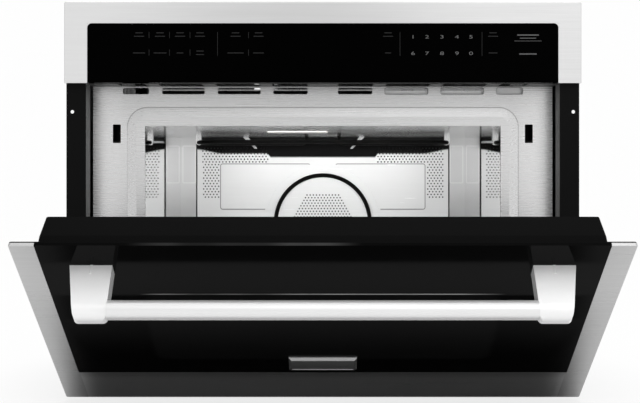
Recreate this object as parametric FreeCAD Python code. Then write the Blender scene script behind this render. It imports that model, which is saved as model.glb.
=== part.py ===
import FreeCAD, Part
import math
import os

# Built-in convection microwave oven, 30 inch class, drop-down door shown part open.
# Frame: +Z up, the front faces -Y, X runs to the right of someone facing the oven.
# The origin is on the cabinet shelf, at the middle of the body's width and depth.
# Lengths are millimetres. Angles are degrees.

V = FreeCAD.Vector
os.makedirs("parts", exist_ok=True)

# Front face
face_width = 756.0            # trim and door, side to side
trim_height = 119.0           # control panel block
door_gap = 3.0                # between the trim's lower edge and the closed door
door_height = 385.0
face_proud = 10.0             # trim's front plane in front of the mounting flange
edge_radius = 3.0             # outer corners of trim and door skin

# Body behind the cabinet's face
body_depth = 530.0            # cabinet face to rear panel
case_inset = 21.0             # case side inside the face's side
case_top_drop = 24.0          # case top below the trim's top edge
rail_height = 4.0             # pressed rails under the base pan
fit = 0.4                     # loose fit between sheets
case_sheet = 0.8
frame_sheet = 1.0
plate_sheet = 1.2
cavity_sheet = 1.2
overrun = 5.0                 # how far a cutting shape runs past its target

# Door hinge, places from the photograph
open_angle = 51.4             # door's opening in the rest pose
pin_above_shelf = 14.0
pin_below_door = 22.0
pin_behind_plate = 23.0
pin_radius = 4.0
pin_play = 0.05               # radial play on pins and shafts
hinge_inset = 26.3            # door arm's middle inside the recess side

# Recess and front plate
recess_inset = 29.7           # recess side inside the face's side
recess_wall_depth = 28.0
plate_setback = 61.0          # plate behind the front plane
land_raise = 2.0              # raised land round the cavity's mouth
land_ramp = 14.0
land_margin_x = 27.0
land_margin_z = 28.0
land_radius = 30.0

# Cavity
cavity_inset = 78.8           # cavity side inside the recess side
floor_above_shelf = 97.0
roof_below_trim = 59.5
rear_room = 65.0              # perforated rear cover to the case's rear
fan_below_roof_share = 0.5978    # fan's centre below the roof, of the cavity's height

# Places worked out from the sizes above
half_face = face_width / 2
cabinet_face_y = -body_depth / 2
flange_y = cabinet_face_y - frame_sheet
front_y = flange_y - face_proud
rear_y = body_depth / 2
plate_y = front_y + plate_setback
plate_back_y = plate_y + plate_sheet
pin_y = plate_y + pin_behind_plate
pin_z = pin_above_shelf
door_z0 = pin_z + pin_below_door
door_z1 = door_z0 + door_height
trim_z0 = door_z1 + door_gap
trim_z1 = trim_z0 + trim_height
case_z0 = rail_height
case_z1 = trim_z1 - case_top_drop
case_height = case_z1 - case_z0
half_case = half_face - case_inset
half_recess = half_face - recess_inset
half_cavity = half_recess - cavity_inset
hinge_x = half_recess - hinge_inset
roof_z = trim_z0 - roof_below_trim
floor_z = floor_above_shelf
cavity_height = roof_z - floor_z
fan_z = roof_z - fan_below_roof_share * cavity_height
grille_y = rear_y - rear_room
cavity_depth = grille_y - plate_y
cavity_mid_y = (plate_y + grille_y) / 2


def point(plane, a, b, at):
    """A point from its two coordinates in a plane and the plane's own place."""
    return {"xy": V(a, b, at), "xz": V(a, at, b), "yz": V(at, a, b)}[plane]


def normal(plane, length):
    """The plane's normal, scaled to a thickness."""
    return {"xy": V(0, 0, length), "xz": V(0, length, 0), "yz": V(length, 0, 0)}[plane]


def polygon(plane, corners, at):
    """Closed outline with straight sides."""
    pts = [point(plane, a, b, at) for a, b in corners]
    return Part.makePolygon(pts + pts[:1])


def rounded(plane, a0, a1, b0, b1, radius, at):
    """Closed outline of a rectangle with round corners."""
    edges = []
    turn = math.sqrt(0.5) * radius
    spots = [(a1 - radius, b0 + radius, 1, -1), (a1 - radius, b1 - radius, 1, 1),
             (a0 + radius, b1 - radius, -1, 1), (a0 + radius, b0 + radius, -1, -1)]
    ends = []
    for index, (ca, cb, sa, sb) in enumerate(spots):
        side, rise = (ca + sa * radius, cb), (ca, cb + sb * radius)
        start, stop = (rise, side) if index % 2 == 0 else (side, rise)
        middle = (ca + sa * turn, cb + sb * turn)
        p, q, r = (point(plane, *spot, at) for spot in (start, middle, stop))
        edges.append(Part.Arc(p, q, r).toShape())
        ends.append((p, r))
    for index in range(len(ends)):
        edges.append(Part.LineSegment(ends[index - 1][1], ends[index][0]).toShape())
    return Part.Wire(Part.__sortEdges__(edges))


def rectangle(plane, a0, a1, b0, b1, at):
    """Closed outline with square corners."""
    return polygon(plane, [(a0, b0), (a1, b0), (a1, b1), (a0, b1)], at)


def circle(plane, a, b, radius, at):
    """Closed round outline."""
    return Part.Wire(Part.makeCircle(radius, point(plane, a, b, at), normal(plane, 1)))


def link(plane, a, ra, b, rb, at):
    """Outline of a link: two round ends joined by their tangents."""
    span = math.hypot(b[0] - a[0], b[1] - a[1])
    along = math.atan2(b[1] - a[1], b[0] - a[0])
    lean = math.acos((ra - rb) / span)

    def rim(centre, radius, angle):
        return point(plane, centre[0] + radius * math.cos(angle),
                     centre[1] + radius * math.sin(angle), at)

    a1, a2 = rim(a, ra, along + lean), rim(a, ra, along - lean)
    b1, b2 = rim(b, rb, along + lean), rim(b, rb, along - lean)
    edges = [Part.LineSegment(a1, b1).toShape(), Part.Arc(b1, rim(b, rb, along), b2).toShape(),
             Part.LineSegment(b2, a2).toShape(),
             Part.Arc(a2, rim(a, ra, along + math.pi), a1).toShape()]
    return Part.Wire(edges)


def sheet(plane, outer, holes, thickness):
    """Flat plate from an outline and the outlines of its holes."""
    face = Part.makeFace([outer] + list(holes), "Part::FaceMakerBullseye")
    return face.extrude(normal(plane, thickness))


def block(x0, x1, y0, y1, z0, z1):
    """Box between two corners."""
    low = V(min(x0, x1), min(y0, y1), min(z0, z1))
    return Part.makeBox(abs(x1 - x0), abs(y1 - y0), abs(z1 - z0), low)


def rod(base, direction, radius, length):
    """Round bar from a base point along a direction."""
    return Part.makeCylinder(radius, length, base, direction)


def tube(points, bend, radius, bore=0):
    """Bent round bar along straight runs joined by equal bends."""
    edges, start = [], points[0]
    for before, corner, after in zip(points, points[1:], points[2:]):
        back, ahead = (before - corner).normalize(), (after - corner).normalize()
        opening = back.getAngle(ahead)
        reach = bend / math.tan(opening / 2)
        enter, leave = corner + back * reach, corner + ahead * reach
        centre_way = (back + ahead).normalize()
        centre = corner + centre_way * (bend / math.sin(opening / 2))
        middle = centre - centre_way * bend
        edges.append(Part.LineSegment(start, enter).toShape())
        edges.append(Part.Arc(enter, middle, leave).toShape())
        start = leave
    edges.append(Part.LineSegment(start, points[-1]).toShape())
    path = Part.Wire(edges)
    way = points[1] - points[0]
    solid = path.makePipeShell([Part.Wire(Part.makeCircle(radius, points[0], way))], True, False)
    if bore:
        inner = Part.Wire(Part.makeCircle(bore, points[0], way))
        solid = solid.cut(path.makePipeShell([inner], True, False))
    return solid


def screw(base, way, radius, height, shank_radius, shank_length):
    """Pan-head screw: the head stands on the base point, the shank goes back."""
    head = rod(base, way, radius, height / 2)
    crown = Part.makeCone(radius, radius - height / 2, height / 2, base + way * (height / 2), way)
    return head.multiFuse([crown, rod(base, way * -1, shank_radius, shank_length)])


def mirror_x(shape):
    """The same piece on the other side."""
    return shape.mirror(V(0, 0, 0), V(1, 0, 0))


def both_sides(shape):
    """A piece and its mirror image, as two solids."""
    return Part.makeCompound([shape, mirror_x(shape)])


def around(shape, count, centre, axis):
    """Copies evenly spaced about an axis."""
    copies = []
    for index in range(count):
        copy = shape.copy()
        copy.rotate(centre, axis, 360.0 * index / count)
        copies.append(copy)
    return copies


def swing(shape):
    """Turn a piece of the closed door to its rest pose about the hinge pins."""
    turned = shape.copy()
    turned.rotate(V(0, pin_y, pin_z), V(1, 0, 0), open_angle)
    return turned


def save(name, shape):
    """Write one sub-part."""
    if not shape.isValid():
        raise ValueError(name + " is not a valid solid")
    shape.exportStep("parts/" + name + ".step")
    print("%-22s %9.1f mm3 %2d solids" % (name, shape.Volume, len(shape.Solids)))


# Base pan: bottom sheet with turned-up lips, notched where the door arms swing down.
# It stands on three pressed rails, which rest on the cabinet's shelf.
pan_lip = 18.0
pan_front_y = plate_back_y
pan_rear_y = rear_y - frame_sheet
pan_half = half_case - case_sheet
pan_top = case_z0 + plate_sheet
arm_slot_width = 12.0
pan_notch_depth = 34.0
intake_count = 6
intake_pitch = 16.0
intake_length = 90.0
intake_width = 5.0
intake_inset = 177.0          # middle of the intake slots inside the case side
intake_before_rear = 221.0
rail_width = 40.0
rail_flange = 12.0
rail_end = 12.0               # rail's end inside the door arm's plane
rail_place_shares = (-0.2642, 0.0, 0.3208)   # along the body's depth


def base_pan():
    notch = [rounded("xy", side * hinge_x - arm_slot_width / 2, side * hinge_x + arm_slot_width / 2,
                     pan_front_y - overrun, pan_front_y + pan_notch_depth, plate_sheet, case_z0)
             for side in (-1, 1)]
    middle, first = half_case - intake_inset, rear_y - intake_before_rear
    slots = [rectangle("xy", side * middle - intake_length / 2, side * middle + intake_length / 2,
                       first + row * intake_pitch, first + row * intake_pitch + intake_width, case_z0)
             for side in (-1, 1) for row in range(intake_count)]
    bottom = sheet("xy", polygon("xy", [(-pan_half, pan_front_y), (pan_half, pan_front_y),
                                        (pan_half, pan_rear_y), (-pan_half, pan_rear_y)], case_z0),
                   slots, plate_sheet)
    lip_z = case_z0 + pan_lip
    lips = [block(pan_half - plate_sheet, pan_half, pan_front_y, pan_rear_y, case_z0, lip_z),
            block(-pan_half, -pan_half + plate_sheet, pan_front_y, pan_rear_y, case_z0, lip_z),
            block(-pan_half, pan_half, pan_rear_y - plate_sheet, pan_rear_y, case_z0, lip_z)]
    pan = bottom.multiFuse(lips)
    pan = pan.cut(Part.makeCompound(screw_holes()))
    for wire in notch:
        cutter = Part.Face(wire).extrude(V(0, 0, plate_sheet + overrun))
        cutter.translate(V(0, 0, -overrun / 2))
        pan = pan.cut(cutter)
    return pan.removeSplitter()


def support_rails():
    """Hat-section rails, web down, flanges against the pan."""
    half, out, t = rail_width / 2, rail_width / 2 + rail_flange, plate_sheet
    section = [(-half, 0), (half, 0), (half, rail_height - t), (out, rail_height - t),
               (out, rail_height), (half - t, rail_height), (half - t, t), (t - half, t),
               (t - half, rail_height), (-out, rail_height), (-out, rail_height - t),
               (-half, rail_height - t)]
    reach = hinge_x - rail_end
    rail = sheet("yz", polygon("yz", section, -reach), [], 2 * reach)
    rails = []
    for share in rail_place_shares:
        copy = rail.copy()
        copy.translate(V(0, share * body_depth, 0))
        rails.append(copy)
    return Part.makeCompound(rails)


# Outer case: one sheet folded over the top and down both sides, with cooling slots
# near the rear, and a flat rear panel with an inlet grille and a pressed knock-out.
wrap_radius = 5.0
wrap_y0 = cabinet_face_y
wrap_y1 = rear_y - frame_sheet
side_slot_count = 10
side_slot_pitch = 14.0
side_slot_height = 70.0
side_slot_width = 4.0
side_slot_before_rear = 195.0
side_slot_below_top = 119.0
rear_slot_rows = 9
rear_slot_pitch = 11.0
rear_slot_width = 5.0
rear_slot_length = 44.0
rear_slot_columns = 3
rear_slot_step = 52.0
rear_slot_inset = 245.0       # middle of the first column inside the case side
rear_slot_below_top = 124.0
rear_lip = 12.0
conduit_inset = 67.0          # cable entry inside the case side
conduit_z = 60.0
conduit_bore = 10.5
conduit_wall = 1.5
conduit_flange = 16.0
conduit_flange_sheet = 2.0
conduit_inside = 12.0
conduit_nut = 3.0
tapping_radius = 2.0          # holes and shanks of the case screws
head_radius = 3.8
head_height = 2.4
side_screw_shares = (-0.3396, 0.0, 0.3396)   # along the body's depth
rear_screw_shares = (0.3612, 0.6718)         # up the case's height
top_screw_share = 0.4202                     # out from the middle, of half the case
motor_vent_radius = 3.0
motor_vent_ring = 18.0
motor_vent_count = 8
conduit_x = half_case - conduit_inset


def screw_spots():
    """Each case screw's seat under its head, and the way the head faces."""
    spots = []
    for side in (-1, 1):
        out = V(side, 0, 0)
        spots += [(V(side * half_case, share * body_depth, case_z0 + pan_lip / 2), out)
                  for share in side_screw_shares]
        x = side * (half_case - case_sheet - rear_lip / 2)
        spots += [(V(x, rear_y, case_z0 + share * case_height), V(0, 1, 0)) for share in rear_screw_shares]
        spots.append((V(x, rear_y, case_z0 + pan_lip / 2), V(0, 1, 0)))
        spots.append((V(side * top_screw_share * half_case, rear_y, case_z1 - case_sheet - rear_lip / 2),
                      V(0, 1, 0)))
    return spots


def screw_holes():
    return [rod(spot + way * overrun, way * -1, tapping_radius, 2 * overrun) for spot, way in screw_spots()]


def case_wrap():
    outer = [point("xz", *spot, wrap_y0) for spot in
             ((half_case, case_z0), (half_case, case_z1), (-half_case, case_z1), (-half_case, case_z0))]
    inner_half = half_case - case_sheet
    inner = [point("xz", *spot, wrap_y0) for spot in
             ((-inner_half, case_z0), (-inner_half, case_z1 - case_sheet),
              (inner_half, case_z1 - case_sheet), (inner_half, case_z0))]
    wrap = Part.Face(Part.makePolygon(outer + inner + outer[:1])).extrude(V(0, wrap_y1 - wrap_y0, 0))
    bends = {case_z1: wrap_radius, case_z1 - case_sheet: wrap_radius - case_sheet}
    for height, radius in bends.items():
        edges = [edge for edge in wrap.Edges if abs(edge.Length - (wrap_y1 - wrap_y0)) < fit
                 and abs(edge.CenterOfMass.z - height) < case_sheet / 4
                 and abs(edge.CenterOfMass.x) > inner_half - case_sheet / 2]
        wrap = wrap.makeFillet(radius, edges)
    slots = []
    low = case_z1 - side_slot_below_top
    for row in range(side_slot_count):
        y = rear_y - side_slot_before_rear + row * side_slot_pitch
        wire = rectangle("yz", y, y + side_slot_width, low, low + side_slot_height, -half_case - overrun)
        slots.append(Part.Face(wire).extrude(V(2 * (half_case + overrun), 0, 0)))
    top, low = case_z1 - case_sheet, case_z0 + pan_lip + frame_sheet
    x = inner_half - rear_lip
    lip = [(-inner_half, low), (-x, low), (-x, top - rear_lip), (x, top - rear_lip), (x, low),
           (inner_half, low), (inner_half, top - wrap_radius), (inner_half - wrap_radius, top),
           (wrap_radius - inner_half, top), (-inner_half, top - wrap_radius)]
    wrap = wrap.fuse(sheet("xz", polygon("xz", lip, wrap_y1 - case_sheet), [], case_sheet))
    return wrap.cut(Part.makeCompound(slots + screw_holes()))


def rear_panel():
    first, low = rear_slot_inset - half_case - rear_slot_length / 2, case_z1 - rear_slot_below_top
    slots = [rectangle("xz", first + column * rear_slot_step,
                       first + column * rear_slot_step + rear_slot_length, low + row * rear_slot_pitch,
                       low + row * rear_slot_pitch + rear_slot_width, wrap_y1)
             for column in range(rear_slot_columns) for row in range(rear_slot_rows)]
    vents = [circle("xz", motor_vent_ring * math.cos(2 * math.pi * index / motor_vent_count),
                    fan_z + motor_vent_ring * math.sin(2 * math.pi * index / motor_vent_count),
                    motor_vent_radius, wrap_y1) for index in range(motor_vent_count)]
    outline = rounded("xz", -half_case, half_case, case_z0, case_z1, wrap_radius, wrap_y1)
    panel = sheet("xz", outline, slots + vents, frame_sheet)
    bush = rod(V(conduit_x, wrap_y1 - overrun, conduit_z), V(0, 1, 0), conduit_bore + conduit_wall,
               2 * overrun)
    return panel.cut(Part.makeCompound([bush] + screw_holes()))


def conduit_bush():
    """Flanged bush for the supply cable, held by a nut inside."""
    centre = V(conduit_x, rear_y, conduit_z)
    flange = rod(centre, V(0, 1, 0), conduit_flange, conduit_flange_sheet)
    barrel = rod(centre, V(0, -1, 0), conduit_bore + conduit_wall, conduit_inside)
    nut = rod(V(conduit_x, wrap_y1 - conduit_nut, conduit_z), V(0, 1, 0), conduit_flange, conduit_nut)
    bore = rod(V(conduit_x, rear_y - conduit_inside - overrun, conduit_z), V(0, 1, 0), conduit_bore,
               conduit_inside + conduit_flange_sheet + 2 * overrun)
    return flange.multiFuse([barrel, nut]).cut(bore).removeSplitter()


def case_screws():
    """Pan-head screws round the case's lower edge and the rear panel."""
    seats = {"side": case_sheet + plate_sheet, "rear": frame_sheet + case_sheet}
    screws = []
    for spot, way in screw_spots():
        length = seats["side"] if abs(way.x) else seats["rear"]
        screws.append(screw(spot, way, head_radius, head_height, tapping_radius, length))
    return Part.makeCompound(screws)


save("base_pan", base_pan())
save("support_rails", support_rails())
save("case_wrap", case_wrap())
save("rear_panel", rear_panel())
save("conduit_bush", conduit_bush())
save("case_screws", case_screws())

# Mounting frame: the black flange that is screwed to the cabinet's face. It is open
# below, and has a window for the electronics behind the control panel.
flange_margin = 1.0           # flange edge inside the trim's edge
frame_top_drop = 2.0
screw_hole_radius = 2.6
screw_hole_inset = 9.7        # inside the face's side
screw_hole_drop = 38.4        # upper hole below the closed door's top
screw_hole_rise = 111.0       # lower hole above the closed door's foot
window_inset = 66.0
window_above = 12.0           # electronics window above the trim's lower edge
window_below = 43.0           # and below its top edge
screw_hole_x = half_face - screw_hole_inset
screw_hole_high = door_z1 - screw_hole_drop
screw_hole_low = door_z0 + screw_hole_rise
window_half = half_face - window_inset
window_z0 = trim_z0 + window_above
window_z1 = trim_z1 - window_below


def front_frame():
    half = half_face - flange_margin
    top = trim_z1 - frame_top_drop
    outline = polygon("xz", [(-half, case_z0), (-half_recess, case_z0), (-half_recess, trim_z0),
                             (half_recess, trim_z0), (half_recess, case_z0), (half, case_z0),
                             (half, top), (-half, top)], flange_y)
    holes = [circle("xz", side * screw_hole_x, z, screw_hole_radius, flange_y)
             for side in (-1, 1) for z in (screw_hole_low, screw_hole_high)]
    holes.append(rounded("xz", -window_half, window_half, window_z0, window_z1, edge_radius, flange_y))
    return sheet("xz", outline, holes, frame_sheet)


save("front_frame", front_frame())

# Vent slots: half of them, from the middle outwards, each with its start and end as
# shares of half the recess.
vent_shares = ((0.06575, 0.21504), (0.27074, 0.45708), (0.51450, 0.69968), (0.75710, 0.87051))
vent_below_trim = 1.8
vent_height = 9.6
vent_radius = 2.5
ceiling_vent_margin = 4.0


def vent_places():
    """Each slot's two ends along X, on both sides."""
    right = [(a * half_recess, b * half_recess) for a, b in vent_shares]
    return [(-b, -a) for a, b in reversed(right)] + right


# Recess liner: plain steel side walls and ceiling, between the flange and the plate.
def recess_liner():
    t = frame_sheet
    slots = [rounded("xy", a, b, cabinet_face_y + ceiling_vent_margin, plate_y - ceiling_vent_margin,
                     vent_radius, trim_z0) for a, b in vent_places()]
    corners = [(-half_recess - t, cabinet_face_y), (half_recess + t, cabinet_face_y),
               (half_recess + t, plate_back_y), (-half_recess - t, plate_back_y)]
    ceiling = sheet("xy", polygon("xy", corners, trim_z0), slots, t)
    wall = block(half_recess, half_recess + t, cabinet_face_y, cabinet_face_y + recess_wall_depth,
                 case_z0, trim_z0)
    return ceiling.multiFuse([wall, mirror_x(wall)]).removeSplitter()


save("recess_liner", recess_liner())

# Trim: a folded stainless channel round the top and sides of the control panel.
trim_side_strip = 33.7
trim_top_strip = 31.6
trim_sheet = 1.2
window_radius = 2.0           # inner corners round the glass


def trim_frame():
    inner_half = half_face - trim_side_strip
    inner_top = trim_z1 - trim_top_strip
    t = trim_sheet

    def arch(grow, y0, y1):
        """Inverted U between an outer and an inner outline moved by grow."""
        out, low = half_face - grow, inner_half + grow
        corners = [(-out, trim_z0 + grow), (-low, trim_z0 + grow), (-low, inner_top + grow),
                   (low, inner_top + grow), (low, trim_z0 + grow), (out, trim_z0 + grow),
                   (out, trim_z1 - grow), (-out, trim_z1 - grow)]
        return Part.Face(polygon("xz", corners, y0)).extrude(V(0, y1 - y0, 0))

    body = arch(0, front_y, flange_y)
    corners = [edge for edge in body.Edges if abs(edge.Length - face_proud) < fit
               and abs(abs(edge.CenterOfMass.x) - half_face) < fit
               and abs(edge.CenterOfMass.z - trim_z1) < fit]
    body = body.makeFillet(edge_radius, corners)
    bends = [edge for edge in body.Edges if abs(edge.Length - face_proud) < fit
             and abs(abs(edge.CenterOfMass.x) - inner_half) < fit
             and abs(edge.CenterOfMass.z - inner_top) < fit]
    body = body.makeFillet(window_radius, bends)
    rim = [edge for edge in body.Edges if abs(edge.CenterOfMass.y - front_y) < fit / 4
           and edge.CenterOfMass.z > trim_z1 - trim_top_strip / 2]
    body = body.makeFillet(trim_sheet, rim)
    return body.cut(arch(t, front_y + t, flange_y + overrun))


save("trim_frame", trim_frame())

# Control panel: black glass, a moulded carrier behind it, the circuit board with its
# relays and supply parts, and the display block.
glass_gap = 0.3
glass_recess = 0.8
panel_glass = 4.0
carrier_wall = 2.5
carrier_depth = 30.0
carrier_lip = 8.0
carrier_rib_count = 5
board_sheet = 1.6
board_inset = 112.0           # board's end inside the window's end
board_margin = 6.0            # board's long edges inside the window's
display_half = 62.0
display_height = 30.0
display_depth = 9.0
relay_width = 16.0
relay_height = 12.0
relay_depth = 14.0
relay_margin = 30.0           # first relay inside the board's end
relay_pitch = 42.0
relay_count = 6
can_radius = 8.0
can_height = 22.0
can_margin = 75.0             # outer can inside the board's end
can_step = 30.0
chip_size = 24.0


def panel_box():
    """Edges of the control glass: half width, bottom and top."""
    return (half_face - trim_side_strip - glass_gap, trim_z0 + glass_gap,
            trim_z1 - trim_top_strip - glass_gap)


def control_glass():
    half, low, high = panel_box()
    y = front_y + glass_recess
    return sheet("xz", rounded("xz", -half, half, low, high, window_radius, y), [], panel_glass)


def control_carrier():
    half, low, high = panel_box()
    y = front_y + glass_recess + panel_glass
    front = sheet("xz", rounded("xz", -half + carrier_lip, half - carrier_lip, low + carrier_lip / 2,
                                high - carrier_lip / 2, edge_radius, y),
                  [rounded("xz", -display_half - fit, display_half + fit,
                           (low + high - display_height) / 2 - fit,
                           (low + high + display_height) / 2 + fit, carrier_wall, y)],
                  flange_y - y)
    x, z0, z1 = window_half - fit, window_z0 + fit, window_z1 - fit
    inner = rounded("xz", -x + carrier_wall, x - carrier_wall, z0 + carrier_wall, z1 - carrier_wall,
                    carrier_wall, flange_y)
    skirt = sheet("xz", rounded("xz", -x, x, z0, z1, edge_radius, flange_y), [inner], carrier_depth)
    ribs = []
    for index in range(carrier_rib_count):
        place = -x + 2 * x * (index + 1) / (carrier_rib_count + 1)
        if abs(place) > display_half:
            ribs.append(block(place - carrier_wall / 2, place + carrier_wall / 2, flange_y,
                              flange_y + carrier_depth / 3, z0 + carrier_wall, z1 - carrier_wall))
    return front.multiFuse([skirt] + ribs).removeSplitter()


def board_y():
    """Front of the circuit board: the rear ends of the carrier's ribs."""
    return flange_y + carrier_depth / 3


def control_board():
    low, high = window_z0 + board_margin, window_z1 - board_margin
    middle = (low + high) / 2
    end = window_half - board_inset
    y = board_y()
    board = block(-end, end, y, y + board_sheet, low, high)
    back = y + board_sheet
    parts = []
    w, h = relay_width, relay_height
    first = relay_margin - end
    for index in range(relay_count):
        x = first + index * relay_pitch
        parts.append(block(x, x + w, back, back + relay_depth, low + h, low + 2 * h))
    for x in (end - can_margin - can_step, end - can_margin):
        parts.append(rod(V(x, back, middle), V(0, 1, 0), can_radius, can_height))
    parts.append(block(end - chip_size - w, end - w, back, back + board_sheet,
                       middle - chip_size / 2, middle + chip_size / 2))
    parts.append(block(first, first + relay_pitch, back, back + h, high - h, high - board_sheet))
    return board.multiFuse(parts)


def display_module():
    _, low, high = panel_box()
    y = front_y + glass_recess + panel_glass
    middle = (low + high) / 2
    return sheet("xz", rounded("xz", -display_half, display_half, middle - display_height / 2,
                               middle + display_height / 2, carrier_wall, y), [], display_depth)


save("control_glass", control_glass())
save("control_carrier", control_carrier())
save("control_board", control_board())
save("display_module", display_module())

# Front plate: one stamped stainless sheet. The land round the cavity's mouth is raised,
# slots along the top let the cooling air out, and the latch and door arm slots pass through.
latch_inset = 35.8            # latch slot's middle inside the recess side
latch_slot_width = 12.0
latch_slot_height = 28.1
latch_below_door = 68.25      # slot's middle below the closed door's top
arm_slot_rise = 52.0          # door arm's slot above its pin
plate_return = 16.0
lower_vent_count = 11
lower_vent_pitch = 48.0
lower_vent_width = 34.0
lower_vent_height = 6.0
lower_vent_rise = 20.0        # above the case's lower edge
latch_slot_x = half_recess - latch_inset
latch_slot_z = door_z1 - latch_below_door


def front_plate():
    half = half_recess
    outline = polygon("xz", [(-half, case_z0), (half, case_z0), (half, trim_z0), (-half, trim_z0)],
                      plate_y)
    land_x, land_z0, land_z1 = half_cavity + land_margin_x, floor_z - land_margin_z, roof_z + land_margin_z
    holes = [rounded("xz", -land_x, land_x, land_z0, land_z1, land_radius, plate_y)]
    for a, b in vent_places():
        holes.append(rounded("xz", a, b, trim_z0 - vent_below_trim - vent_height,
                             trim_z0 - vent_below_trim, vent_radius, plate_y))
    for side in (-1, 1):
        x = side * latch_slot_x
        holes.append(rounded("xz", x - latch_slot_width / 2, x + latch_slot_width / 2,
                             latch_slot_z - latch_slot_height / 2, latch_slot_z + latch_slot_height / 2,
                             plate_sheet, plate_y))
    for index in range(lower_vent_count):
        x = (index - (lower_vent_count - 1) / 2) * lower_vent_pitch
        low = case_z0 + lower_vent_rise
        holes.append(rectangle("xz", x - lower_vent_width / 2, x + lower_vent_width / 2, low,
                               low + lower_vent_height, plate_y))
    plate = sheet("xz", outline, holes, plate_sheet)

    # The land is a shallow dish pressed forwards, of the same sheet.
    def dish(y_shift):
        back = rounded("xz", -land_x, land_x, land_z0, land_z1, land_radius, plate_y + y_shift)
        x, z0, z1 = land_x - land_ramp, land_z0 + land_ramp, land_z1 - land_ramp
        front = rounded("xz", -x, x, z0, z1, land_radius - land_ramp, plate_y + y_shift - land_raise)
        return Part.makeLoft([back, front], True, True)

    outer = Part.Face(rounded("xz", -land_x, land_x, land_z0, land_z1, land_radius, plate_y))
    outer = outer.extrude(V(0, plate_sheet, 0)).fuse(dish(0))
    land = outer.cut(dish(plate_sheet))
    mouth = block(-half_cavity, half_cavity, plate_y - 2 * land_raise, plate_back_y + overrun,
                  floor_z, roof_z)
    land = land.cut(mouth)
    returns = [block(half - plate_sheet, half, plate_y, plate_y + plate_return, pan_top, trim_z0)]
    returns.append(mirror_x(returns[0]))
    plate = plate.multiFuse([land] + returns)
    for side in (-1, 1):
        x = side * hinge_x
        plate = plate.cut(block(x - arm_slot_width / 2, x + arm_slot_width / 2, plate_y - overrun,
                                plate_back_y + overrun, case_z0 - overrun, pin_z + arm_slot_rise))
    return plate.removeSplitter()


save("front_plate", front_plate())

# Cavity: five welded stainless panels. The rear one has wide openings behind the
# perforated panel, and the roof has the wave inlet and the lamp's window.
wave_inlet_left_share = 0.32653     # inlet's left end, of half the cavity's width
wave_inlet_width_share = 0.33395
wave_inlet_front_share = 0.4217     # its front behind the plate, of the cavity's depth
wave_inlet_length = 40.0
port_share = 0.53803          # lamp on the left, steam outlet on the right, of half the width
port_before_cover = 155.0
port_rows = 5
port_pitch = 8.0
port_length = 48.0
port_width = 3.0
heater_leg_x = 30.0
heater_before_cover = 45.0    # grill heater's rear run in front of the rear cover
heater_spread = 80.0          # between its two runs
heater_drop = 12.5
heater_radius = 3.5
leg_hole = 5.0
turn_hole_radius = 9.0
track_share = 0.26988         # of the cavity's depth
track_width = 16.0
track_depth = 2.0
back_wall_gap = 3.0
track_radius = track_share * cavity_depth
back_y = grille_y + back_wall_gap
shell_half = half_cavity + cavity_sheet
wave_left = -wave_inlet_left_share * half_cavity
wave_right = wave_left + wave_inlet_width_share * half_cavity
wave_front = plate_y + wave_inlet_front_share * cavity_depth
wave_rear = wave_front + wave_inlet_length
port_x = port_share * half_cavity
port_y = grille_y - port_before_cover
heater_rear_y = grille_y - heater_before_cover
heater_front_y = heater_rear_y - heater_spread
outlet_inset = 36.5           # hot air outlets inside the cavity side
outlet_width = 45.0
outlet_below_roof = 14.0
outlet_height = 136.0
# The fan guard's boss in the rear cover sets the radii of the ring heater round it, of the
# fan behind it and of the fan's intake.
boss_share = 0.38879          # of the cavity's height
ring_share = 0.8548           # of the boss
fan_share = 0.6346
intake_margin = 2.0
boss_radius = boss_share * cavity_height
ring_radius = ring_share * boss_radius
fan_radius = fan_share * boss_radius
intake_radius = fan_radius + intake_margin


def wall(side):
    x = half_cavity if side > 0 else -shell_half
    return block(x, x + cavity_sheet, plate_back_y, back_y, floor_z, roof_z)


def cavity_roof():
    outline = polygon("xy", [(-shell_half, plate_back_y), (shell_half, plate_back_y),
                             (shell_half, back_y), (-shell_half, back_y)], roof_z)
    holes = [rounded("xy", wave_left, wave_right, wave_front, wave_rear, edge_radius, roof_z)]
    for side in (-1, 1):
        for row in range(port_rows):
            y = port_y + (row - port_rows / 2) * port_pitch
            holes.append(rectangle("xy", side * port_x - port_length / 2, side * port_x + port_length / 2,
                                   y, y + port_width, roof_z))
    holes += [circle("xy", side * heater_leg_x, heater_rear_y, leg_hole, roof_z) for side in (-1, 1)]
    return sheet("xy", outline, holes, cavity_sheet)


def cavity_floor():
    """Floor with a sunk ring track for the rollers and the drive's hole."""
    z = floor_z - cavity_sheet
    outline = polygon("xy", [(-shell_half, plate_back_y), (shell_half, plate_back_y),
                             (shell_half, back_y), (-shell_half, back_y)], z)
    inner, outer = track_radius - track_width / 2, track_radius + track_width / 2
    plate = sheet("xy", outline, [circle("xy", 0, cavity_mid_y, outer, z)], cavity_sheet)
    disc = sheet("xy", circle("xy", 0, cavity_mid_y, inner, z),
                 [circle("xy", 0, cavity_mid_y, turn_hole_radius, z)], cavity_sheet)
    t, d = cavity_sheet, track_depth
    section = [(inner - t, floor_z), (inner + t, floor_z), (inner + 2 * t, floor_z - d),
               (outer - 2 * t, floor_z - d), (outer - t, floor_z), (outer + t, floor_z),
               (outer + t, z), (outer, z), (outer - t, z - d), (inner + t, z - d), (inner, z),
               (inner - t, z)]
    ring = Part.Face(Part.makePolygon([V(a, cavity_mid_y, b) for a, b in section + section[:1]]))
    ring = ring.revolve(V(0, cavity_mid_y, 0), V(0, 0, 1), 360)
    return plate.multiFuse([disc, ring])


def leg_drop():
    """Height of the ring heater's two legs."""
    return fan_z - math.sqrt(ring_radius ** 2 - ring_leg_x ** 2)


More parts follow.
